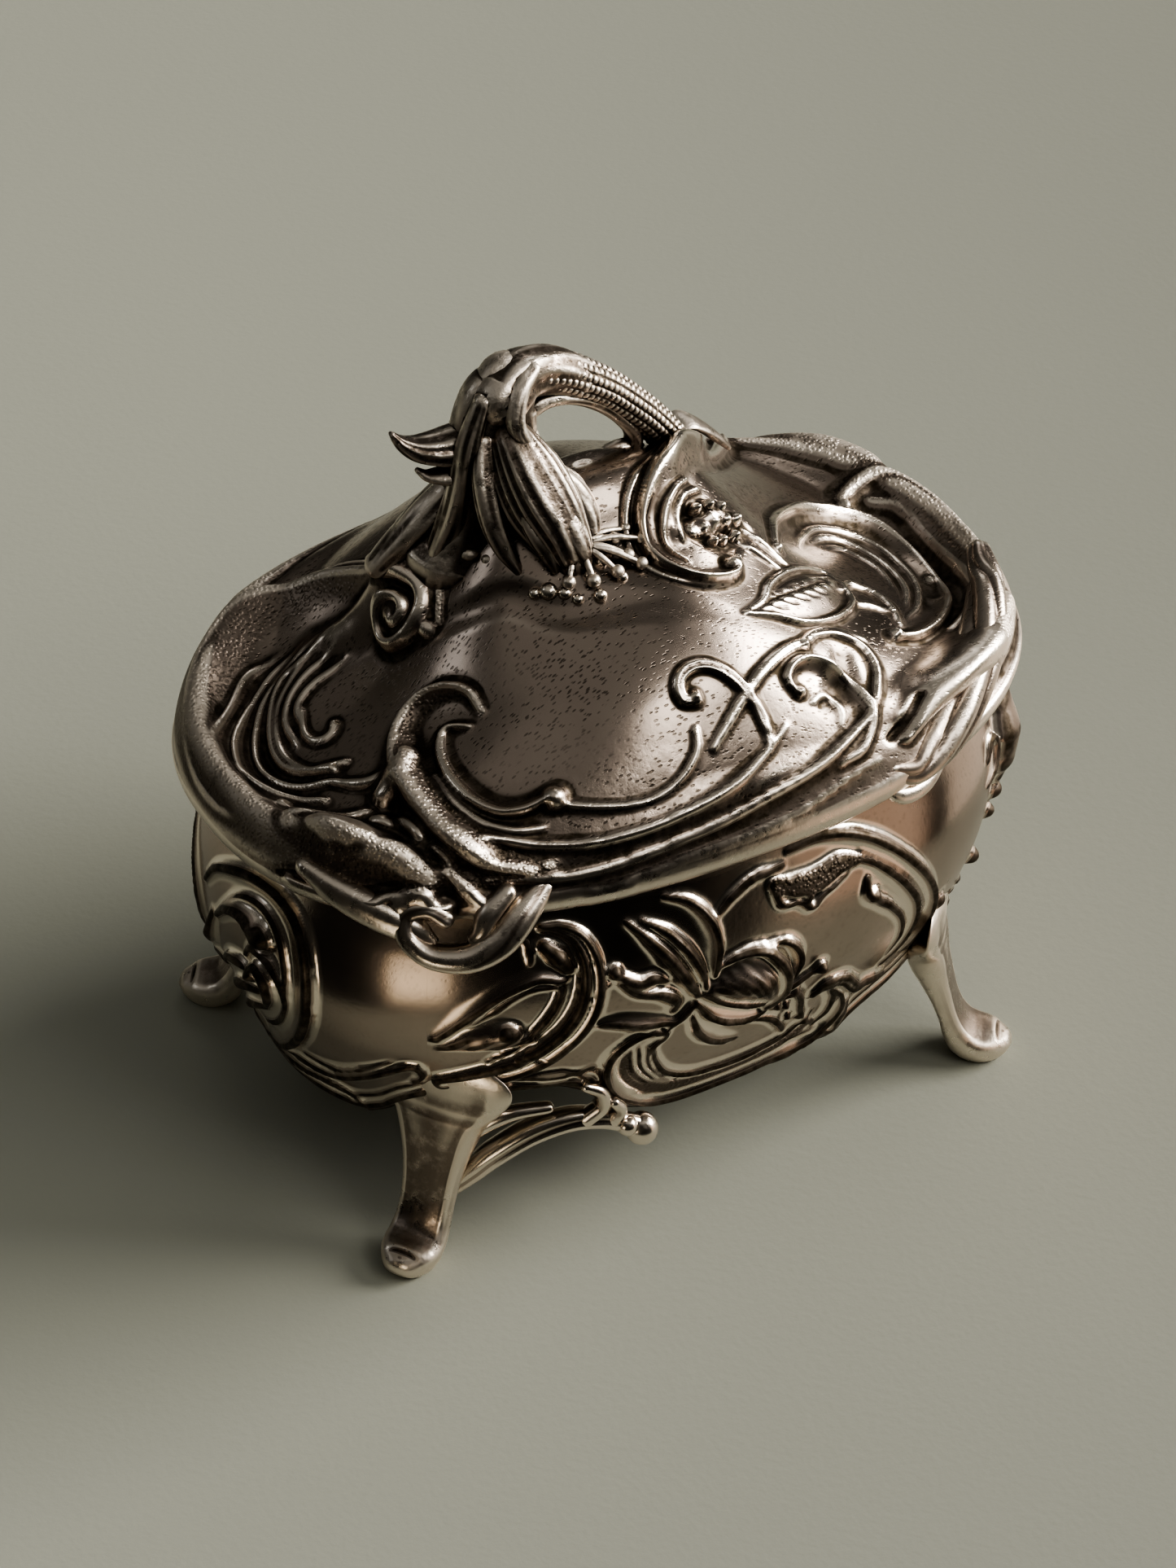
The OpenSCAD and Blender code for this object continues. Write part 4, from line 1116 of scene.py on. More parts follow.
def lily(r):
    """The open lily in the middle."""
    r.stroke([(-22.4, 70.4), (-18.6, 66.8), (-14.6, 61.6), (-11.2, 55.8), (-9, 51.4)],
             [.6, 2, 2.6, 2.4, 1.2], [.9, 2, 2.4, 2.4, 1.8], soft)
    r.stroke([(-22, 70), (-17.4, 65), (-13.4, 59), (-10.4, 53)], [.4, .6, .7, .5], [1, 1.8, 2.2, 1.8])
    r.stroke([(-19.6, 70), (-14.6, 66.6), (-10.8, 61.6), (-8.4, 56), (-7.8, 52.6)], [.4, .8, .9, .9, .6],
             [1, 2.2, 2.7, 2.6, 1.8])
    r.stroke([(-15.2, 73), (-10.8, 70.8), (-7.6, 66.6), (-6.2, 61.4), (-6.2, 55)],
             [.6, 1.4, 1.8, 1.7, .9], [.9, 2, 2.6, 2.6, 1.8], lipped)
    r.bead((-24.4, 61.4), 1.5, 2.2)
    r.bead((-25.6, 59.2), .9, 1.3)
    r.stroke([(-23.6, 60.6), (-20.4, 58), (-17, 58), (-14.8, 56.6)], [1, 1.5, 1.4, .7],
             [1.6, 1.8, 1.7, .9])
    r.stroke([(-23.4, 59), (-20, 55.8), (-15.8, 54), (-13, 51.4), (-13.2, 49)], [.8, 1.2, 1.3, 1.4, .8],
             [1.4, 1.8, 1.8, 1.8, 1])
    r.stroke([(-28.4, 50.2), (-23, 50.2), (-17, 48), (-12, 46.4), (-9.6, 48.6)], [.5, 1.7, 1.9, 1.4, .8],
             [.6, 1.8, 2, 1.6, 1], lipped, lip=-1)
    r.stroke([(-26.6, 49.2), (-21, 47.4), (-15.4, 44.6)], [.4, .8, .4], [.5, 1.2, .6])
    r.stroke([(-16, 43.4), (-12.6, 45.6), (-9.6, 49)], [.5, .7, .5], [1.2, 1.4, 1.4])
    r.stroke([(-6.4, 51.4), (-1, 50.6), (3.6, 48.8), (6.6, 44.4)], [3.6, 6, 6.4, 3], [1.6, 3.2, 3.8, 2.2],
             soft)
    r.stroke([(-5.4, 56.2), (0, 57.4), (4.4, 56.2), (7.4, 51.4), (7.8, 46.4), (5.8, 41)],
             [.6, .9, 1.2, 1.4, 1.3, .6], [1.2, 2.2, 3.2, 3.9, 3.6, 1.8])
    r.stroke([(5, 57), (8.6, 55.6), (10.4, 52), (9.4, 48), (7.4, 44)], [.7, 1.2, 1.4, 1.2, .6],
             [1.6, 2.6, 2.8, 2.4, 1.2], lipped)
    r.stroke([(-9, 50), (-5.6, 45.4), (-1, 42.2), (3.4, 40), (6.4, 40.2)], [.8, 1.6, 1.9, 1.6, .7],
             [1.6, 2.4, 2.8, 2.4, 1.4], lipped, lip=-1)
    r.stroke([(-8.4, 51.6), (-4, 47.8), (1, 45), (4.8, 43)], [.5, .8, .8, .5], [1.8, 2.8, 3.2, 2.4])
    for k in range(4):
        r.cut([(-6 + 1.8 * k, 53.4 + .7 * k), (-2.6 + 2 * k, 51 - .1 * k), (.6 + 1.7 * k, 47.2 - .9 * k)],
              [.25, .35, .25], .55)
    r.stroke([(-9, 45.6), (-7, 41), (-4, 37.6), (-.6, 35), (2, 33.4)], [.8, 1.5, 1.8, 1.5, .4],
             [1.2, 2, 2.2, 1.8, .6], lipped, lip=-1)
    r.stroke([(7.6, 43), (11, 44.2), (15, 45.8)], [.6, .6, .5], [1.6, 1.6, 1.6])
    r.bead((16.4, 46), 1.4, 2.3)
    r.stroke([(7.4, 41.6), (11.6, 41.8), (13.6, 39), (14.6, 35.4), (16.6, 31.6)], [.6, .8, .8, .8, .6],
             [1.6, 1.8, 1.8, 1.6, 1.2])
    r.stroke([(4.4, 38), (8.4, 35.8), (11.4, 32.2), (13, 29.6)], [.5, .7, .7, .5], [1.2, 1.5, 1.4, .8])
    for x, z, size in ((8.6, 39.4, .9), (11.8, 42.6, .9), (9.4, 42, .8), (12.2, 34.4, .8),
                       (14.8, 33.4, .9), (17.6, 30.2, .9), (10.6, 38.6, .9)):
        r.bead((x, z), size, size + .9)


def upper_sweep(r):
    """Sweeps that frame a plain panel on the right."""
    r.stroke([(-5.4, 66.4), (-1.6, 69.4), (3, 71.4), (8.4, 71.4)], [.6, .9, .9, .6], [.8, 1.3, 1.3, .7],
             reeded)
    r.stroke([(6.6, 68.4), (10, 67), (14.6, 66.4), (19.6, 67.4), (23.6, 66.4)], [1.6, 2.4, 2.6, 2.2, 1.2],
             [.9, 1.5, 1.6, 1.5, .9], flat, grain=1)
    r.stroke([(6, 67.4), (7.6, 64.4), (11, 63.6), (13.4, 61.6), (15.4, 63), (18.4, 64), (21.4, 65)],
             [.6, .8, .7, .8, .7, .7, .5], [1.2, 1.8, 1.6, 1.8, 1.6, 1.6, 1])
    r.bead((12.8, 64), 1.1, 2)
    r.stroke([(10, 73.4), (16, 73.6), (21.6, 71.8), (27, 68), (32, 62.8), (36.6, 56.8), (40.4, 50.6),
              (42.8, 44.6), (43.2, 39.6), (41.4, 35)], [.8, 1.4, 2, 2.3, 2.4, 2.5, 2.5, 2.4, 2.2, 1.4],
             [.8, 1.4, 1.9, 2.1, 2.1, 2.1, 2.1, 2, 1.8, 1.2], lipped)
    r.stroke([(21, 67.6), (26, 64.6), (30.4, 60), (34.4, 54.6), (37.8, 48.6), (39.2, 42.6), (38, 37.6),
              (34.6, 34.8)], [.6, 1, 1.2, 1.3, 1.3, 1.2, 1, .6], [.9, 1.5, 1.7, 1.7, 1.7, 1.6, 1.4, .9],
             lipped)
    r.stroke([(24.4, 67.8), (29.4, 63.8), (34, 58.4), (38, 52.2), (40.6, 46), (41, 40)],
             [.4, .6, .7, .7, .6, .4], [.8, 1.1, 1.2, 1.2, 1.1, .6])
    r.stroke([(25.4, 61.4), (25, 58.2), (27.4, 55.6), (31.2, 51.8), (34.8, 46.8), (36.4, 41.4),
              (35.4, 37)], [.8, 1.4, 1.2, .9, .9, .9, .5], [1.3, 2.2, 1.7, 1.3, 1.2, 1.1, .6], lipped)
    r.bead((26.8, 57.6), 1.5, 2.1)
    r.bead((47.6, 42.2), 1.8, 1.6)
    r.stroke([(44.6, 44), (46.8, 40.6), (47.4, 36.6)], [.5, .9, .4], [.6, 1, .4])


def apron_sweep(r):
    """The scroll that makes the wall's lower edge."""
    r.stroke([(-16.4, 40.4), (-14.4, 42.8), (-16.8, 44), (-20.4, 43), (-23.4, 39.6), (-24, 35),
              (-22.4, 30), (-19, 25.6), (-14, 22.8), (-6, 21.8), (4, 22), (13, 22.6), (20, 23.4),
              (24.6, 26.4), (25.2, 30.6), (22.6, 35), (19.4, 38.2), (17, 37.4)],
             [.9, 1.1, 1.3, 1.5, 1.7, 1.8, 1.8, 1.7, 1.6, 1.5, 1.5, 1.5, 1.6, 1.8, 1.8, 1.6, 1.3, .8],
             [1.4, 1.6, 1.8, 2, 2, 2, 2, 2, 1.9, 1.8, 1.8, 1.8, 2, 2.2, 2.2, 2, 1.8, 1.3], lipped, lip=-1)
    r.stroke([(-16, 40), (-15, 35.6), (-12.2, 30.8), (-7.4, 27.8), (0, 26.8), (8, 27.2), (14, 28.6),
              (18.6, 31.8)], [.8, 1, 1.1, 1.1, 1.1, 1.1, 1, .6], [1.2, 1.6, 1.7, 1.7, 1.6, 1.6, 1.5, .8],
             lipped, lip=-1)
    r.stroke([(-21.4, 39), (-20.8, 34), (-18, 29), (-13, 25.4), (-6, 24.4), (4, 24.4), (14, 25.4),
              (20.4, 28)], [1.2, 1.6, 1.8, 1.6, 1.4, 1.4, 1.4, .8], [.5, .7, .7, .7, .7, .7, .7, .4],
             flat, grain=1.0)
    for off in (0, 1.7, 3.3):
        r.stroke([(-20.6 + off, 40.4), (-20 + off, 35), (-17.4 + off, 30.4), (-13.4 + off * .6, 26.6)],
                 [.3, .5, .5, .3], [.9, 1.3, 1.3, .7])
    r.stroke([(16.6, 38.2), (19.6, 40), (23.4, 38.6), (26.4, 35.4), (29.4, 32.6), (33.4, 31.6)],
             [.8, 1.2, 1.4, 1.4, 1.3, .8], [1.3, 1.8, 2, 2, 1.8, 1], reeded)
    r.stroke([(20.6, 37.6), (22.6, 34), (23, 29.6), (20.6, 26.4)], [.6, .9, .9, .5], [1.2, 1.4, 1.3, .7])
    r.stroke([(27.4, 30), (28.6, 26), (28.4, 21.6)], [1.6, 1.8, .9], [1.4, 1.6, 1.2])
    r.stroke([(29, 33.6), (33.4, 32.4), (37.4, 30.6)], [.9, 1.3, .9], [1.4, 1.8, 1.2])
    r.stroke([(-27.6, 34.4), (-25.4, 29), (-22, 24.4)], [.6, .9, .6], [.8, 1.2, .8])
    r.stroke([(31, 23.6), (36, 25.8), (41.6, 26.4), (47, 30)], [.6, .9, .9, .6], [.8, 1.2, 1.2, .8])


def end_ornament(r):
    """Ornament of an end wall. Along the wall, 0 is its middle."""
    r.stroke([(-8, 58), (-4, 63), (2, 66.6), (8, 68.8), (13.6, 69), (18, 66.4), (20.2, 61), (20.6, 54),
              (19.6, 47), (16.4, 40.4), (11.6, 34.6), (5.4, 29.4), (-2, 25)],
             [1, 1.4, 1.8, 2.1, 2.3, 2.5, 2.6, 2.6, 2.6, 2.4, 2.2, 1.9, 1.2],
             [1.2, 1.8, 2.2, 2.4, 2.5, 2.5, 2.5, 2.5, 2.4, 2.2, 2, 1.8, 1.2], lipped)
    r.stroke([(-1, 57), (2.6, 61.6), (6.6, 64.6), (11, 65.2), (14.6, 62.8), (16.4, 58), (16.8, 52),
              (15.6, 46), (12, 40.4), (6, 35)], [.8, 1, 1.2, 1.3, 1.3, 1.2, 1.2, 1.1, 1, .6],
             [1, 1.4, 1.7, 1.8, 1.8, 1.8, 1.7, 1.5, 1.3, .8], lipped)
    r.stroke([(-3.4, 54), (1.6, 59.4), (7, 62.4), (11.6, 61)], [1, 1.8, 2.6, 2.6], [1.2, 2.2, 3.2, 3.6],
             soft)
    r.bead((12, 61), 2.6, 3.6)
    r.stroke([(7.4, 53), (9.6, 56), (13.4, 56), (16, 52.6), (16.2, 48)], [.8, 1.3, 1.5, 1.4, .8],
             [1.6, 2.6, 2.8, 2.4, 1.4], lipped)
    r.stroke([(8, 50.6), (10.6, 53), (12.8, 51.4), (13, 47.6), (11, 43.6)], [.6, 1.1, 1.3, 1.2, .7],
             [1.6, 2.6, 2.8, 2.2, 1.2])
    r.bead((9.4, 50.6), 1.5, 3.2)
    r.stroke([(-3, 44), (3, 48), (7.6, 49.6), (10.4, 48.4)], [.6, 1.9, 2.1, .9], [.9, 2.2, 2.4, 1.2],
             lipped)
    r.stroke([(-2, 39.4), (4, 43.8), (9.4, 46.2)], [.6, 1.6, .9], [1, 2, 1.3])
    r.stroke([(-1, 35), (5, 39.4), (10.6, 43)], [.6, 1.4, .8], [1, 1.8, 1.1])
    r.stroke([(-12, 40), (-8, 46), (-5, 53)], [1.2, 2.4, 1.4], [1.2, 2.2, 1.2], soft)
    r.stroke([(-14, 36), (-10, 41), (-3, 43.4)], [.8, 1.2, .9], [1.2, 1.6, 1.2], lipped, lip=-1)
    r.stroke([(-20, 64), (-15, 57), (-12.6, 49), (-14.6, 41), (-20, 35)], [.8, 1.3, 1.5, 1.3, .8],
             [1, 1.6, 1.8, 1.6, 1], lipped, lip=-1)
    r.stroke([(-26, 27.4), (-16, 25.4), (-6, 23.6), (4, 23.4), (12, 25), (18, 26.8), (23, 26),
              (27.6, 22.6)], [.7, .9, 1, 1, 1, 1, .9, .6], [1, 1.4, 1.4, 1.4, 1.4, 1.4, 1.3, .9], reeded)
    r.stroke([(4, 28), (12, 29.6), (19, 30.6), (25, 32.4), (31, 35.8), (36, 39.2), (39.4, 41),
              (40.6, 38.8), (39, 37)], [.8, 1.1, 1.4, 1.6, 1.8, 1.8, 1.5, 1.1, .7],
             [1, 1.4, 1.7, 1.9, 2, 2, 1.9, 1.7, 1.1], lipped)
    r.stroke([(16, 33.4), (24, 34.4), (30.6, 38), (35.6, 41.6)], [.5, .8, .8, .4], [.7, 1.1, 1.1, .5])
    r.stroke([(-38, 37), (-32, 34), (-25, 30.6), (-17, 29)], [.7, 1.2, 1.2, .7], [1, 1.5, 1.5, 1], lipped,
             lip=-1)


def bud_ornament(r):
    """The right end has a bud that stands out near the front corner, with pearls below it."""
    end_ornament(r)
    r.stroke([(-23.2, 55.6), (-22, 60), (-20.6, 64.6)], [4.4, 6.4, 5.2], [4, 5, 4])
    r.bead((-21.6, 61.6), 5.4, 3.4)
    r.stroke([(-24.4, 51), (-23.6, 54), (-22.8, 56.6)], [1.8, 2.6, 2], [2.2, 3.2, 2.6])
    for s, z, size in ((-25, 48, 2.0), (-26, 44, 1.7), (-30.6, 37.4, 1.9)):
        r.bead((s, z), size, size + .6)
    r.stroke([(-19, 57), (-21.6, 50), (-23, 43), (-27, 36)], [.8, 1.2, 1.2, .8], [1.2, 1.8, 1.8, 1.2],
             lipped, lip=-1)
    r.stroke([(-34, 62), (-31.4, 64.6), (-29.4, 62), (-31, 58.4), (-34.6, 57)], [.8, 1.2, 1.3, 1.2, .7],
             [1.2, 1.9, 2, 1.8, 1], lipped)


# ---- Legs and the openwork under the front and back ----

LEG_SEAT = 59.6  # mm from the case's middle to where a leg's rows start
CORNER_CURVE = 44.0  # mm, radius of the case's corner under a leg's root
SOLE_DEPTH = 1.75  # how far a toe's sole goes down, in half thicknesses


def leg_section(w, h, rim, square, sole):
    """Outline across a leg: a rounded front with a soft edge on each side, a hollow back, a full sole."""
    x = np.sin(np.linspace(-math.pi / 2, math.pi / 2, 28))
    round_off = np.sqrt(np.clip(1 - np.abs(x)**square, 0, 1))
    edges = rim * np.exp(-((np.abs(x) - .84) / .12)**2) * round_off
    front = h * .72 * round_off + edges - .10 * rim * (1 - x * x)
    hollow_back = .9 - .5 * (1 - x * x)
    back = -h * (hollow_back * (1 - sole) + SOLE_DEPTH * sole) * round_off
    return np.concatenate([np.stack([x * w, front], 1), np.stack([x[::-1] * w, back[::-1]], 1)[1:-1]])


LEG_ROWS = [  # out, height, half thickness, half width, edge height
    (15.4, 4.9, .8, 1.3, 0), (15.3, 4.5, 1.8, 2.6, 0), (14.5, 4, 2.7, 4, .05), (12.8, 3.7, 3.3, 5, .1),
    (10.6, 3.9, 3.6, 5.4, .2), (8.4, 5, 3.5, 5.3, .35), (6.4, 7.4, 3.2, 5.1, .5), (4.8, 11, 3, 5.1, .6),
    (3.4, 15.4, 3.3, 5.5, .65), (1.9, 20, 4.1, 6.4, .7), (.6, 24.6, 5.2, 7.8, .7), (0, 28.6, 5.3, 9.6, .7),
    (.9, 32, 3.9, 12, .5), (2.3, 35, 1.6, 13.6, .35), (2.5, 37.4, 1.2, 13.8, .2), (2.3, 39.6, .9, 12.4, 0),
    (1.5, 41.6, .6, 9, 0)]


def leg_part():
    """The leg at the back right corner; the others are its mirror images."""
    at = spline([(a, b, 0, c, d, e) for a, b, c, d, e in LEG_ROWS], step=.5)
    path = at[:, :2]
    t = unit(np.gradient(path, axis=0))
    out = np.stack([t[:, 1], -t[:, 0]], 1)
    bend = np.clip((at[:, 1] - 22) / 12, 0, 1)
    rings = []
    for q, o, (h, w, rim), curve in zip(path, out, at[:, 3:6], bend):
        square = 2 + 1.6 * min(q[1] / 16, 1)
        sole = max(0, 1 - q[1] / 11) * min(1, q[0] / 8)
        sec = leg_section(max(w, .2), max(h, .2), rim, square, sole)
        along = LEG_SEAT + q[0] + o[0] * sec[:, 1] - curve * sec[:, 0]**2 / (2 * CORNER_CURVE)
        up = np.maximum(q[1] + o[1] * sec[:, 1], .02)
        rings.append(np.stack([along, sec[:, 0], up], 1))
    part = Part()
    part.grid(np.array(rings), wrap_columns=True, caps=(True, True), flip=True)
    part.age = LEG_AGE
    return part.turned(math.degrees(CORNER))


def apron_scroll_part():
    """The openwork scroll between the front left leg and its free knob."""
    part = Part()
    groove = lambda g, t: 1 - .2 * np.exp(-((np.mod(g - 4.4 + math.pi, 2 * math.pi) - math.pi) / .35)**2)
    part.tube([(-49.4, -35.4, 11, 1.8, 2.4), (-46, -38, 15.6, 2, 2.6), (-42.4, -39.6, 19.4, 2.1, 2.8),
               (-36.4, -41.4, 23.2, 2.2, 2.8), (-30, -43.2, 24.9, 2.2, 2.6),
               (-24.6, -44.4, 24, 2, 2.3), (-20.6, -45.1, 22, 1.9, 2),
               (-17.6, -45.7, 20, 2.2, 2.2)], shape=groove)
    part.ball((-16.4, -45.9, 19), 3, (1, 1, 1.05))
    part.ball((-19.6, -46.4, 21.4), 1.9)
    part.tube([(-27, -44.6, 25, 1.6, 1.8), (-24.4, -45.6, 28, 1.5, 1.8), (-25, -45.8, 31.4, 1.3, 1.5),
               (-27.6, -45.4, 33.4, 1, 1.2)])
    part.tube([(-22, -45.6, 23.4, 1.4, 1.5), (-21, -46.2, 25.8, 1.3, 1.4),
               (-22.4, -46.4, 28.2, 1, 1.1)])
    part.tube([(-48.6, -36.6, 21, 1.3, 1.5), (-44.6, -38.8, 26, 1.5, 1.7), (-39.6, -40.8, 28.6, 1.4, 1.6),
               (-33.6, -42.8, 29, 1.1, 1.3)])
    return part


# ---- Handle ----

def folded(deep):
    """Uneven lengthwise folds that run round a tube."""
    def shape(g, t):
        return (1 + deep * (.55 * np.cos(3 * g + 3.2 * t) + .4 * np.cos(5 * g - 5 * t + 1)
                            + .22 * np.cos(9 * g + 6 * t + 2.2) + .18 * np.cos(2 * g + 14 * t)))
    return shape


def scaly(g, t):
    """Rows of small round grains, as on a stalk of seeds."""
    grains = np.sqrt(np.abs(np.cos(6 * g) * np.cos(30 * math.pi * t)))
    return 1 + .16 * (grains - .6) + .04 * np.cos(2 * g + .6)


def stem_part():
    """The trunk, the beaded stem and the strands that wind round them."""
    part = Part()
    part.tube([(-22.6, 8, 113.6, 13, 10.5), (-21.6, 7.6, 117.6, 11, 9.4), (-20.6, 7.3, 121.6, 9.4, 8.4),
               (-19.8, 7, 126, 8.4, 7.6), (-19.4, 7, 131, 8, 7.2), (-18.8, 7, 137, 7.5, 6.8),
               (-17.8, 7, 142.4, 6.8, 6.2), (-16, 7, 145.6, 5.4, 5.2)], sides=110, step=.25,
              shape=folded(.075))
    part.tube([(-18.4, 4.8, 144.4, 5.4, 5.2), (-14.6, 6.4, 146.2, 4.9, 4.9), (-10.6, 7, 146.2, 4.3, 4.4),
               (-6.6, 7, 144.8, 3.9, 4), (-2.2, 7, 141.8, 3.3, 3.6)], sides=90, step=.25,
              shape=folded(.085))
    part.tube([(-10, 7, 146, 3.5, 3.9), (-6, 7, 144.4, 3.5, 3.9), (-2, 7, 141.8, 3.4, 3.8),
               (2.6, 7, 138.3, 3.3, 3.6), (7, 7, 134, 3.2, 3.4), (11.4, 7, 129.2, 3.1, 3.3),
               (14.8, 7, 124.6, 3.1, 3.3), (17.2, 7, 120.6, 3.3, 3.5)], sides=96, step=.2, shape=scaly)
    part.tube([(-12.6, 6, 139.6, 2, 2.5), (-9, 5.8, 140.6, 1.6, 2.2), (-4, 6, 139.2, 1.3, 2.1),
               (1.6, 6.2, 135.6, 1.3, 2), (6.2, 6.4, 130.6, 1.3, 2), (8.6, 6.6, 126.6, 1.5, 2),
               (8.2, 6.6, 123.6, 1.8, 2.2)], sides=36, step=.3, shape=folded(.06))
    part.tube([(-13.4, 4.6, 135.4, 2, 2.5), (-12, 4, 130.4, 2.1, 2.4), (-9, 4.2, 126.4, 2.2, 2.3),
               (-4.4, 5, 124.2, 1.7, 2.1), (1, 5.8, 124.4, 1.4, 1.8), (6, 6.4, 124.8, 1.5, 1.8),
               (9.2, 6.8, 123, 1.7, 1.9)], sides=36, step=.3, shape=folded(.06))
    hood_fold = [(-13, 3.6, 149.4, 1.2, 1.5), (-16.6, 1.4, 147.6, 1.6, 1.9),
                 (-18.4, -.4, 143.6, 1.6, 1.9), (-17.4, -1.2, 139.8, 1.5, 1.8),
                 (-14.4, -.8, 136.6, 1.5, 1.8), (-11.8, .6, 133, 1.4, 1.6)]
    part.tube(hood_fold, sides=32, step=.3, shape=folded(.06))
    part.tube([(-22.6, 3.4, 146, 1.4, 1.8), (-25.4, 2.8, 139, 2, 2.3), (-26.6, 2.8, 131, 2.4, 2.6),
               (-28, 3.2, 123.6, 2.8, 2.6), (-30.4, 3.6, 117.4, 2.4, 2)], sides=44, step=.3,
              shape=folded(.10))
    part.tube([(-15, 11.4, 143, 1.6, 1.8), (-16, 13, 135, 2.2, 2), (-17.2, 13.8, 126, 2.6, 2.2),
               (-18, 14.4, 119, 2.4, 1.8)], sides=36, step=.3, shape=folded(.10))
    part.tube([(-12.6, 9.6, 140, 1.2, 1.6), (-12.4, 11, 132, 1.7, 2), (-11.6, 11.4, 125.6, 2, 2),
               (-10.2, 11.4, 120.6, 1.9, 1.6)], sides=36, step=.3, shape=folded(.08))
    part.tube([(-25.4, 8, 126, 2.8, 4), (-29.6, 8.4, 122.4, 3, 3.8), (-34, 9.4, 117.6, 2.8, 3.2),
               (-38.6, 10.4, 112.6, 2.2, 2.2)], sides=44, step=.3, shape=folded(.09))
    for at, r in (((-29, 2.8, 119), 1.8), ((-32, 4.4, 116.6), 1.4), ((-26.4, .2, 118), 1.6),
                  ((-24, -2.4, 117.6), 1.3), ((-10, 3, 121.6), 1.8), ((-7.4, 2, 121.2), 1.3),
                  ((-12.4, 2.4, 122.8), 1.4)):
        part.ball(at, r, (1.15, 1, .8))
    return part


def veined(g, t):
    """Ribs and fine veins that run down a bell of petals."""
    ribs = .10 * np.abs(np.cos(2.5 * g + .5)) + .022 * np.cos(19 * g + 2 * np.sin(3 * g))
    return .97 + ribs * np.clip(3 * t, 0, 1) + .03 * np.cos(2 * g + 6 * t)


def flower_part():
    """A bell-shaped bloom that hangs from under the hood, with its petals parted at the mouth."""
    part = Part()
    part.tube([(-18.6, 3.4, 140, 3, 3.4), (-18.3, 1, 137, 4.8, 4.8), (-17.5, -1.4, 133.4, 5.9, 5.8),
               (-16.2, -3.8, 129.4, 6.3, 6.2), (-14.8, -5.8, 126, 5.9, 5.9),
               (-13.6, -7.6, 122.8, 5, 5.1), (-12.8, -8.8, 120.2, 4.3, 4.5),
               (-12.4, -9.4, 118.6, 3.6, 3.8)], ref=(1, 0, 0), sides=120, step=.25, shape=veined)
    petals = (
        [(-22.8, 1.8, 139, 1.2, 1.8), (-24.2, -1.2, 133.4, 1.7, 2.5), (-24.4, -3.8, 127.6, 1.6, 2.4),
         (-23.2, -6, 122, 1.3, 1.9), (-21.2, -8, 117.4, .5, .8)],
        [(-19.6, -5.4, 131, 1, 1.9), (-18.6, -8.4, 126.4, 1.3, 2.3), (-17.2, -10.2, 122.4, 1.1, 1.9),
         (-16.2, -11.6, 118.6, .5, .9)],
        [(-15.4, -7.6, 131, 1, 2), (-13.8, -10, 126.6, 1.4, 2.7), (-12.2, -11.8, 122.6, 1.2, 2.2),
         (-11, -12.8, 119, .5, 1)],
        [(-12.4, -4, 132, 1.2, 2), (-9.8, -5.6, 128, 1.6, 2.7), (-8.2, -7.4, 124, 1.5, 2.4),
         (-8.2, -9.2, 120.6, 1, 1.4), (-9, -10.4, 118.2, .4, .6)],
        [(-11.6, -1.2, 131, 1.2, 1.8), (-8.4, -2, 127, 1.5, 2.3), (-6.4, -3.2, 123.6, 1.2, 1.7),
         (-4.6, -4.4, 121.6, .5, .7)])
    for rows in petals:
        part.tube(rows, ref=(1, 0, 0), sides=40, step=.3, shape=folded(.08))
    return part


def stamens_part():
    """Filaments with bead ends under the bloom."""
    part = Part()
    mouth = np.array((-11.4, -9.6, 120.6))
    for tip in ((-1.4, -8.6, 120.2), (.4, -11.4, 119.4), (-3.4, -13.2, 118.4), (-6.6, -15.4, 117.6),
                (-4.6, -10.2, 120.2), (-11.4, -15.8, 117.6), (-15.4, -14.4, 117.8), (-1.8, -15.2, 117.4)):
        tip = np.array(tip)
        mid = (mouth + tip) / 2 + np.array((0, 0, 1.0))
        part.tube([(*mouth, .7, .7), (*mid, .6, .6), (*tip, .5, .5)], ref=(0, 0, 1), sides=14)
        part.ball(tip, 1.2)
    return part


def petal_part():
    """The pointed petal left of the trunk."""
    part = Part()
    curled = lambda g, t: 1 + .07 * np.cos(3 * g + 1) + .035 * np.cos(9 * g)
    part.tube([(-20, 6.4, 135.4, 4.4, 5), (-25, 6.6, 136.2, 3.5, 4.5), (-29.4, 6.9, 136.6, 2.7, 3.9),
               (-33, 7.1, 137.6, 2, 2.9), (-35.8, 7.2, 139.6, 1.2, 1.8), (-37.4, 7.2, 141.8, .5, .7)],
              sides=64, step=.3, shape=curled)
    part.tube([(-22.6, 3.6, 132.4, 1.8, 2.6), (-27.4, 4.4, 132, 1.6, 2.6), (-31.4, 5.4, 132.4, 1, 1.6),
               (-33, 6.4, 133.4, .5, .8)], sides=32, step=.4)
    return part


def leaf_part():
    """The small leaf at the foot of the stem."""
    part = Part()
    part.tube([(17.6, 10.8, 119.2, 1, 2), (18.8, 10.9, 121.6, .9, 3), (21, 10.8, 122.6, .8, 3.4),
               (23.8, 10.6, 120.8, .8, 3), (27, 10.2, 117.6, .8, 1.9), (29.6, 9.8, 114.6, .5, .8)],
              sides=40, step=.4, shape=lambda g, t: 1 + .12 * np.cos(2 * g) * np.sin(math.pi * t))
    return part


# ---- Lining ----

WALL_PLEATS, LID_FOLDS = 92, 56
LID_LINING_EDGE = .915  # share of the way to the rim
CORD_TURNS, CORD_R = 90, 1.2


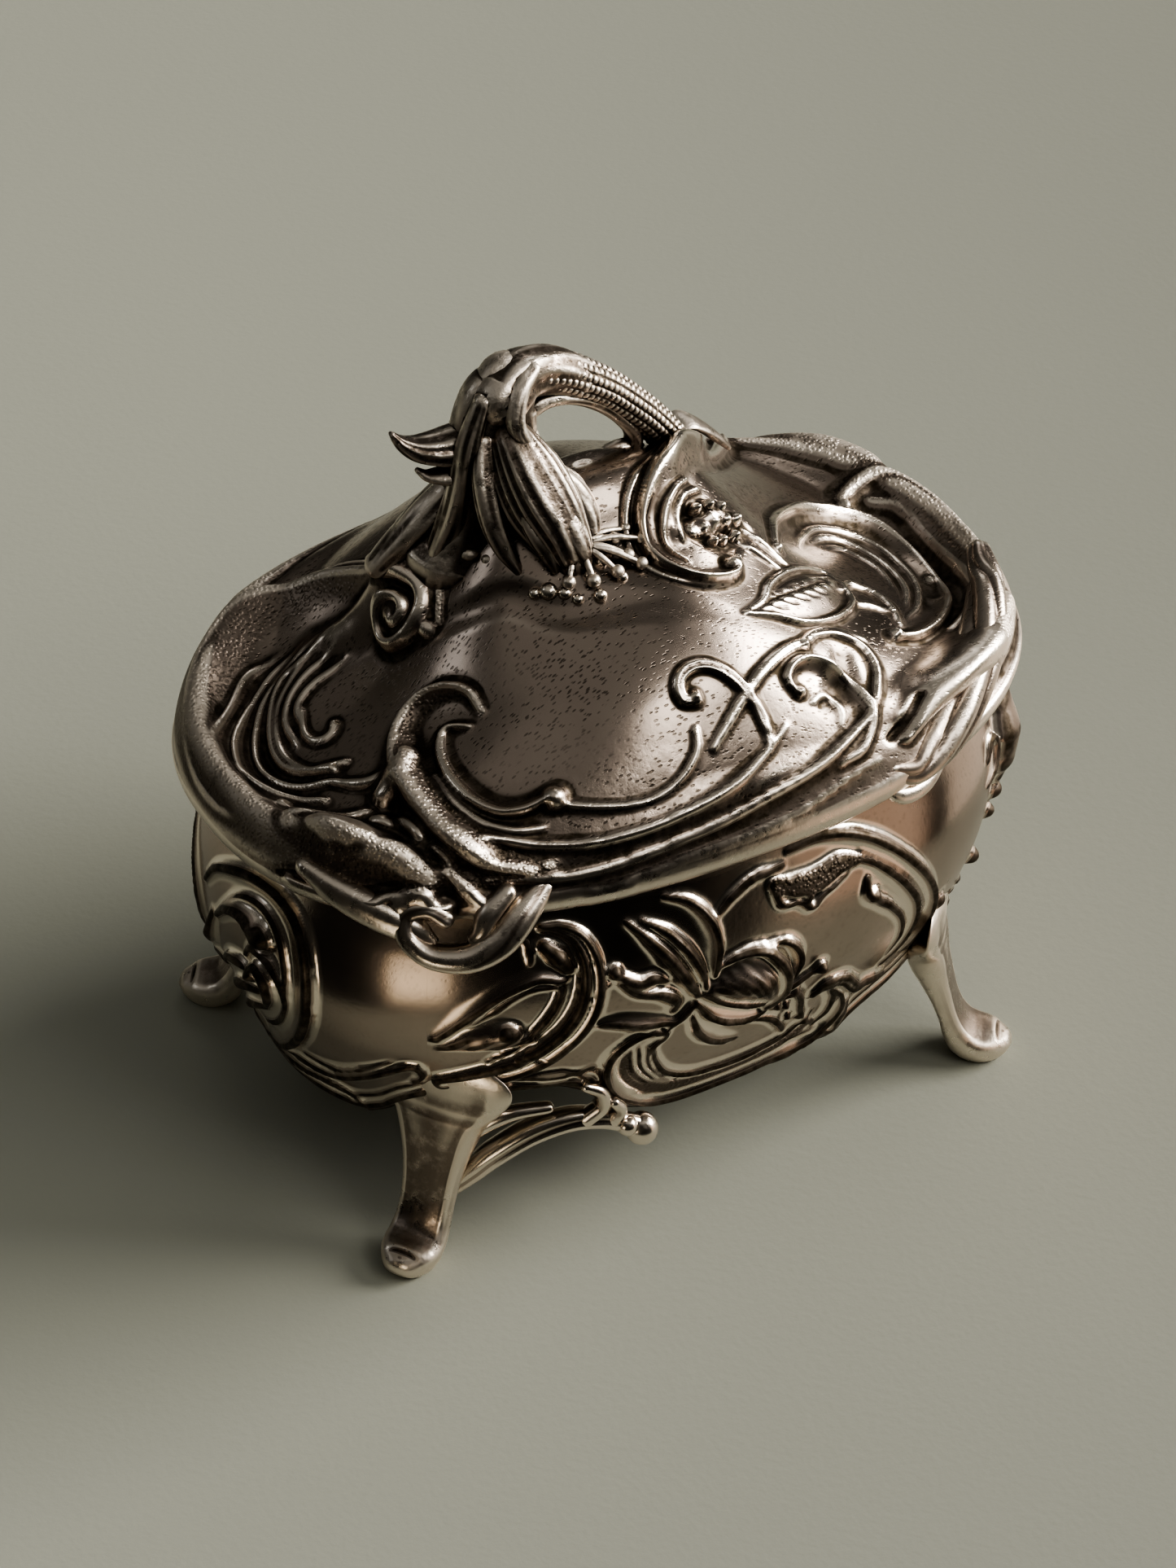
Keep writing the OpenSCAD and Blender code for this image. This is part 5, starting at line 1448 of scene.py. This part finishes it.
def wall_lining_part():
    """Satin gathered into soft upright pleats round the inside of the case."""
    p = around(720)[None]
    v = np.linspace(0, 1, 40)[:, None]
    z = FLOOR_TOP + .4 + (CASE_TOP - 1.4 - FLOOR_TOP) * v
    wander = .9 * np.sin(7 * p) + .6 * np.sin(13 * p + 2) + .5 * np.sin(5 * v)
    pleat = .5 + .5 * np.cos(WALL_PLEATS * p + wander)
    puff = .35 + .5 * pleat * (.55 + .45 * np.sin(math.pi * v)) + .35 * np.sin(math.pi * v)
    inner = case_point(p + 0 * z, z + 0 * p, WALL_T + .5 + puff)
    outer = case_point(p + 0 * z, z + 0 * p, WALL_T + .35)[::4]
    part = Part()
    part.grid(np.concatenate([inner, outer[::-1]]), wrap_columns=True, wrap_rows=True, flip=True)
    p = around(260)
    path = case_point(p, CASE_TOP - 1.0, WALL_T + 1.0)
    g = around(12)
    out = unit(path * np.array((1, 1, 0)))
    thick = .5 + .12 * np.cos(60 * p)[:, None]
    ring = (path[:, None] + out[:, None] * (thick * np.cos(g))[..., None]
            + np.array((0, 0, 1)) * (thick * np.sin(g))[..., None])
    part.grid(ring, wrap_columns=True, wrap_rows=True)
    return part


def lid_lining_part():
    """Satin drawn up in radiating folds to a button under the crest."""
    p = around(600)[None]
    s = np.linspace(LID_LINING_EDGE, CREST_SHARE, 71)[:, None]
    sag = 9.5 * (1 - s)**2
    fold = .5 + .5 * np.cos(LID_FOLDS * p + .8 * np.sin(5 * p) + 2 * s)
    rise = np.sin(math.pi * np.clip((s - .03) / .9, 0, 1))
    puff = .3 + fold * rise**.6 + .8 * rise
    low = dome_point(p + 0 * s, s + 0 * p, LID_T + .4)
    low[..., 2] -= LID_T + .6 + sag + puff
    high = dome_point(p + 0 * s, s + 0 * p, LID_T + .3)[::5]
    high[..., 2] -= LID_T + .3 + sag[::5]
    part = Part()
    part.grid(np.concatenate([low, high[::-1]]), wrap_columns=True, flip=True)
    top = dome_point(np.array([0.0]), np.array([CREST_SHARE]))[0]
    part.ball((top[0], top[1], top[2] - LID_T - 11.6), 3.6, (1, 1, .5))
    p = np.linspace(0, 2 * math.pi, 360)
    edge = dome_point(p, LID_LINING_EDGE + .003, LID_T + .3) - np.array((0, 0, LID_T + 1.4))
    cord = CORD_R + .14 * np.cos(CORD_TURNS * p)
    part.tube(np.column_stack([edge, cord, cord]), ref=(0, 0, 1), step=1.0, sides=12,
              round_ends=(False, False))
    return part


PAD_TOP, PAD_GAP = FLOOR_TOP + 2.0, 1.6
PAD_FRAMES = 20
PAD_RISE, TUFT_R = 1.6, 1.6  # mm that the filling may move a point; mm held down round a tuft


def floor_pad_part():
    """The pad's slack cover: a lens of two skins that the simulation fills."""
    part = Part()
    p = around(120)
    r = oval_r(CASE_A * .985, CASE_B * .985, p) - WALL_T - PAD_GAP
    rim = np.stack([r * np.cos(p), r * np.sin(p), 0 * p], -1)
    rings = [k * rim + np.array((0, 0, PAD_TOP)) for k in np.linspace(.04, 1, 24)]
    edge = [rings[-1] * np.array((1.004, 1.004, 1)) - np.array((0, 0, .7)),
            rings[-1] - np.array((0, 0, 1.4))]
    under = [ring - np.array((0, 0, 1.7)) for ring in rings[::-1]]
    part.grid(np.array(rings + edge + under), wrap_columns=True, caps=(True, True))
    return part


def fill_pad(obj):
    """Blows the cover up between the floor and its own seams, then holds it within the case."""
    for other in bpy.data.objects:
        other.select_set(False)
    cloth = obj.modifiers.new("Cloth", "CLOTH")
    settings = cloth.settings
    settings.quality, settings.mass, settings.tension_stiffness, settings.bending_stiffness = 6, .2, 12, .4
    settings.use_pressure, settings.uniform_pressure_force = True, 4.0
    settings.effector_weights.gravity = 0.0
    pins = obj.vertex_groups.new(name="tufts")
    for v in obj.data.vertices:
        x, y = v.co.x / MM, v.co.y / MM
        near = min(math.hypot(x - tx, y - ty) for tx, ty in TUFTS)
        low = v.co.z / MM < FLOOR_TOP + .8
        pins.add([v.index], 1.0 if low or near < TUFT_R else 0.0, "REPLACE")
    settings.vertex_group_mass = "tufts"
    scene = bpy.context.scene
    scene.frame_start, scene.frame_end = 1, PAD_FRAMES
    cloth.point_cache.frame_start, cloth.point_cache.frame_end = 1, PAD_FRAMES
    for f in range(1, PAD_FRAMES + 1):
        scene.frame_set(f)
    evaluated = obj.evaluated_get(bpy.context.evaluated_depsgraph_get())
    rest = np.array([v.co[:] for v in obj.data.vertices])
    moved = np.array([v.co[:] for v in evaluated.data.vertices])
    shift = np.clip(moved - rest, -PAD_RISE * MM, PAD_RISE * MM)
    obj.modifiers.remove(cloth)
    scene.frame_set(1)
    low = np.clip(rest[:, 2] / MM - FLOOR_TOP - .8, 0, 1)[:, None]
    rest += shift * low
    obj.data.vertices.foreach_set("co", rest.ravel())
    obj.data.update()


# ---- Build, place and light ----

def add(part, name, body, material, slot, *replaced):
    """Makes a piece, hangs it on its body and puts it in place of its CAD nodes."""
    obj = part.make(name, material)
    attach(obj, body)
    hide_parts(*replaced)


def add_casting(part, name, replaced, body="case"):
    """Adds a piece of silver plate."""
    add(part, name, body, SILVER, "silver_plate", replaced)


def build_case():
    """Walls, legs and aprons."""
    half_long = float(np.interp(-CORNER, TURN, RUN))
    quarter = float(np.interp(0, TURN, RUN))
    front = wall_part(0, half_long, LONG_EDGE, 288, long_ornament)
    right = wall_part(quarter, quarter - half_long, END_EDGE, 216, bud_ornament)
    left = wall_part(quarter, quarter - half_long, END_EDGE, 216, end_ornament).turned(180)
    add_casting(front, "front_wall_cast", "front_wall")
    add_casting(front.turned(180), "back_wall_cast", "back_wall")
    add_casting(right, "right_wall_cast", "right_wall")
    add_casting(left, "left_wall_cast", "left_wall")
    leg = leg_part()
    for name, x, y in (("back_right", 1, 1), ("back_left", -1, 1), ("front_right", 1, -1),
                       ("front_left", -1, -1)):
        add_casting(leg.mirrored(x, y), "leg_cast_" + name, "leg_" + name)
    scroll = apron_scroll_part()
    add_casting(scroll, "apron_scroll_cast_front", "apron_scroll_front")
    add_casting(scroll.turned(180), "apron_scroll_cast_back", "apron_scroll_back")


def build_lining():
    """Satin on the walls, in the lid and on the floor."""
    add(wall_lining_part(), "wall_satin", "case", SATIN, "satin_lining", "wall_lining")
    add(lid_lining_part(), "lid_satin", "lid", SATIN, "satin_lining", "lid_lining")
    pad = floor_pad_part().make("floor_satin", SATIN)
    fill_pad(pad)
    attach(pad, "case")
    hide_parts("floor_pad")


def keep_above(part, depth=1.3):
    """Ends a casting inside the dome's metal, depth mm down, so nothing comes out under the lid."""
    for points in part.points:
        points[:, 2] = np.maximum(points[:, 2], on_dome(points)[:, 2] - depth)


def build_handle(lid):
    """The handle's castings, with painted shade where they crowd together."""
    parts = {"handle_stem": stem_part(), "handle_flower": flower_part(), "flower_stamens": stamens_part(),
             "handle_petal": petal_part(), "handle_leaf": leaf_part()}
    for part in parts.values():
        keep_above(part)
    find_crevices(list(parts.values()), [lid])
    for name, part in parts.items():
        part.age = HANDLE_AGE
        add_casting(part, name + "_cast", name, "lid")


def finish_cad_nodes():
    """The parts that keep their CAD shape get their finish."""
    for name, obj in frame["nodes"].items():
        if obj.hide_render:
            continue
        kind = BRASS if name.startswith("hinge") or name == "handle_studs" else SILVER
        obj.data.materials.clear()
        obj.data.materials.append(kind)


VIEW = (-30, 40, -1.41)  # degrees round, up and rolled
LOOK_AT, CAMERA_AWAY = (2.3, 8.2, 50), 974  # mm
LENS, SENSOR = 124.8, 36  # mm


def camera():
    """The photograph's viewing angle."""
    az, el, tilt = (math.radians(a) for a in VIEW)
    back = np.array((math.sin(az) * math.cos(el), -math.cos(az) * math.cos(el), math.sin(el)))
    right = np.array((math.cos(az), math.sin(az), 0))
    up = np.cross(back, right)
    c, s = math.cos(tilt), math.sin(tilt)
    axes = np.array(((c, -s, 0), (s, c, 0), (0, 0, 1))) @ np.array((right, up, back))
    eye = np.array(LOOK_AT) + back * CAMERA_AWAY
    data = bpy.data.cameras.new("camera")
    data.lens, data.sensor_width = LENS, SENSOR
    data.clip_start, data.clip_end = .05, 20
    cam = bpy.data.objects.new("camera", data)
    cam.matrix_world = Matrix([[*axes[:, i], eye[i] * MM] for i in range(3)] + [[0, 0, 0, 1]])
    bpy.context.collection.objects.link(cam)
    bpy.context.scene.camera = cam


def area_light(name, at, target, size, power, colour):
    """A rectangular lamp that shines at target."""
    data = bpy.data.lights.new(name, "AREA")
    data.shape, data.size, data.size_y = "RECTANGLE", size[0], size[1]
    data.energy, data.color = power, colour
    lamp = bpy.data.objects.new(name, data)
    lamp.location = at
    lamp.rotation_euler = (Vector(target) - Vector(at)).to_track_quat("-Z", "Y").to_euler()
    bpy.context.collection.objects.link(lamp)
    return lamp


LAMPS = [  # name, place and aim in metres, size in metres, watts, colour
    ("window", (1.34, -.36, .70), (0, 0, .06), (1.0, .8), 34, (1, .955, .90)),
    ("window_back", (.80, 1.1, 1.15), (0, 0, .08), (.8, .5), 1.3, (1, .97, .93)),
    ("ceiling", (-.1, -.75, 1.15), (-.05, -.15, .03), (1.1, .8), 1.3, (1, .97, .92)),
    ("overhead", (-.30, -.34, 1.15), (0, -.03, .08), (1.3, 1.1), .54, (1, .96, .90)),
    ("sheen", (.24, -.60, .68), (0, -.03, .09), (.44, .28), 1.3, (1, .96, .90)),
    ("fill", (-1.2, .5, .9), (0, 0, .06), (.5, .4), .5, (.94, .97, 1))]
BLACK = (.012, .011, .009)
CARDS = [  # name, radius in mm, from and to in degrees, low and high in mm, colour, glow
    ("dark_card", 128, (186, 289), 0, 150, BLACK, .012),
    ("warm_card", 132, (294, 325), 8, 58, (1, .79, .65), .36),
    ("dark_stripe", 132, (325, 333), 8, 80, BLACK, .01),
    ("side_card", 132, (334, 374), 12, 74, (1, .90, .80), .50),
    ("small_window", 124, (212, 227), 16, 48, (1, .88, .70), .66)]


def card(name, radius, degrees, low, high, colour, glow):
    """A curved card round the box that only the metal's reflections see, as a photographer sets one up."""
    turn = np.radians(np.linspace(degrees[0], degrees[1], 32))[None]
    z = np.linspace(low, high, 6)[:, None]
    grid = np.stack([radius * np.cos(turn) + 0 * z, radius * np.sin(turn) + 0 * z, z + 0 * turn], -1)
    mat, _, shader = nodes_of(name)
    set_inputs(shader, Base_Color=(*colour, 1), Emission_Color=(*colour, 1), Emission_Strength=glow,
               Roughness=1)
    part = Part()
    part.grid(grid)
    obj = part.make(name, mat, worn=3)
    obj.visible_camera = obj.visible_diffuse = obj.visible_shadow = False


ROOM_LOW, ROOM_HIGH = (.055, .053, .047, 1), (.125, .122, .112, 1)


def room():
    """What the metal mirrors beyond the lamps: a room that is darker low down."""
    world = bpy.data.worlds.new("room")
    world.use_nodes = True
    tree = world.node_tree
    split = tree.nodes.new("ShaderNodeSeparateXYZ")
    tree.links.new(tree.nodes.new("ShaderNodeTexCoord").outputs["Generated"], split.inputs[0])
    high = ramp(tree, split.outputs[2], .1, .9)
    background = tree.nodes["Background"]
    tree.links.new(mix_colour(tree, high, ROOM_LOW, ROOM_HIGH), background.inputs["Color"])
    set_inputs(background, Strength=1)
    bpy.context.scene.world = world


def lights():
    """A window on the right, soft fills, and the cards that the metal mirrors."""
    lamps = {row[0]: area_light(*row) for row in LAMPS}
    lamps["ceiling"].visible_glossy = False
    for row in CARDS:
        card(*row)
    room()
    view = bpy.context.scene.view_settings
    view.view_transform, view.look = "AgX", "AgX - High Contrast"
    view.exposure = 0.0


TABLE_REACH, BEND_REACH, SHEET_REACH = 1.2, 2.6, 5.2  # metres
FAR_GLOW = .17
SHADE_WAY, SHADE_SPAN = (.522, -.30, 0), (.22, -.20)  # how far the paper's painted light and shade runs, and which way
SHADE_DARK, SHADE_LIGHT = (.50, .50, .495, 1), (1.40, 1.40, 1.40, 1)
PAPER = ((.330, .340, .292, 1), (.360, .370, .318, 1))


def paper_sheet(name, near, far):
    """A ring of pale paper that bends up far away on all sides, carries painted shade that darkens it one
    way, and is lit evenly beyond the table.
    """
    reach = np.linspace(near, far, 30)[:, None]
    turn = around(96)[None]
    z = 1.1 * (np.maximum(reach - BEND_REACH, 0) / 1.6)**2
    grid = np.stack(np.broadcast_arrays(reach * np.cos(turn), reach * np.sin(turn), z), -1) / MM
    mat, tree, shader = nodes_of(name)
    place = object_place(tree)
    tone = noise(tree, place, 3.0, 3.0)
    paper = mix_colour(tree, tone, *PAPER)
    along = tree.nodes.new("ShaderNodeVectorMath")
    along.operation = "DOT_PRODUCT"
    along.inputs[1].default_value = SHADE_WAY
    tree.links.new(place, along.inputs[0])
    # Painted light and shade on the paper: darker along SHADE_WAY, lighter the other way.
    shade = mix_colour(tree, ramp(tree, along.outputs["Value"], *SHADE_SPAN), SHADE_DARK, SHADE_LIGHT)
    tree.links.new(mix_colour(tree, 1.0, paper, shade, "MULTIPLY"), shader.inputs["Base Color"])
    distance = tree.nodes.new("ShaderNodeVectorMath")
    distance.operation = "LENGTH"
    tree.links.new(place, distance.inputs[0])
    glow = times(tree, ramp(tree, distance.outputs["Value"], .6, 2.2), FAR_GLOW)
    set_inputs(shader, Roughness=.85, Emission_Color=(.98, 1, .88, 1))
    tree.links.new(glow, shader.inputs["Emission Strength"])
    bumped(tree, shader, noise(tree, place, 600.0), .15, .0004)
    part = Part()
    part.grid(grid, wrap_columns=True, flip=True)
    return part.make(name, mat, worn=3)


def floor():
    """The table's paper, and the same paper far off that only the camera sees."""
    paper_sheet("table_paper", 0, TABLE_REACH)
    far = paper_sheet("far_paper", TABLE_REACH, SHEET_REACH)
    far.visible_glossy = far.visible_diffuse = False


LID = build_lid()
add_casting(LID, "lid_cast", "lid_shell", "lid")
build_case()
build_handle(LID)
build_lining()
finish_cad_nodes()
camera()
lights()
floor()
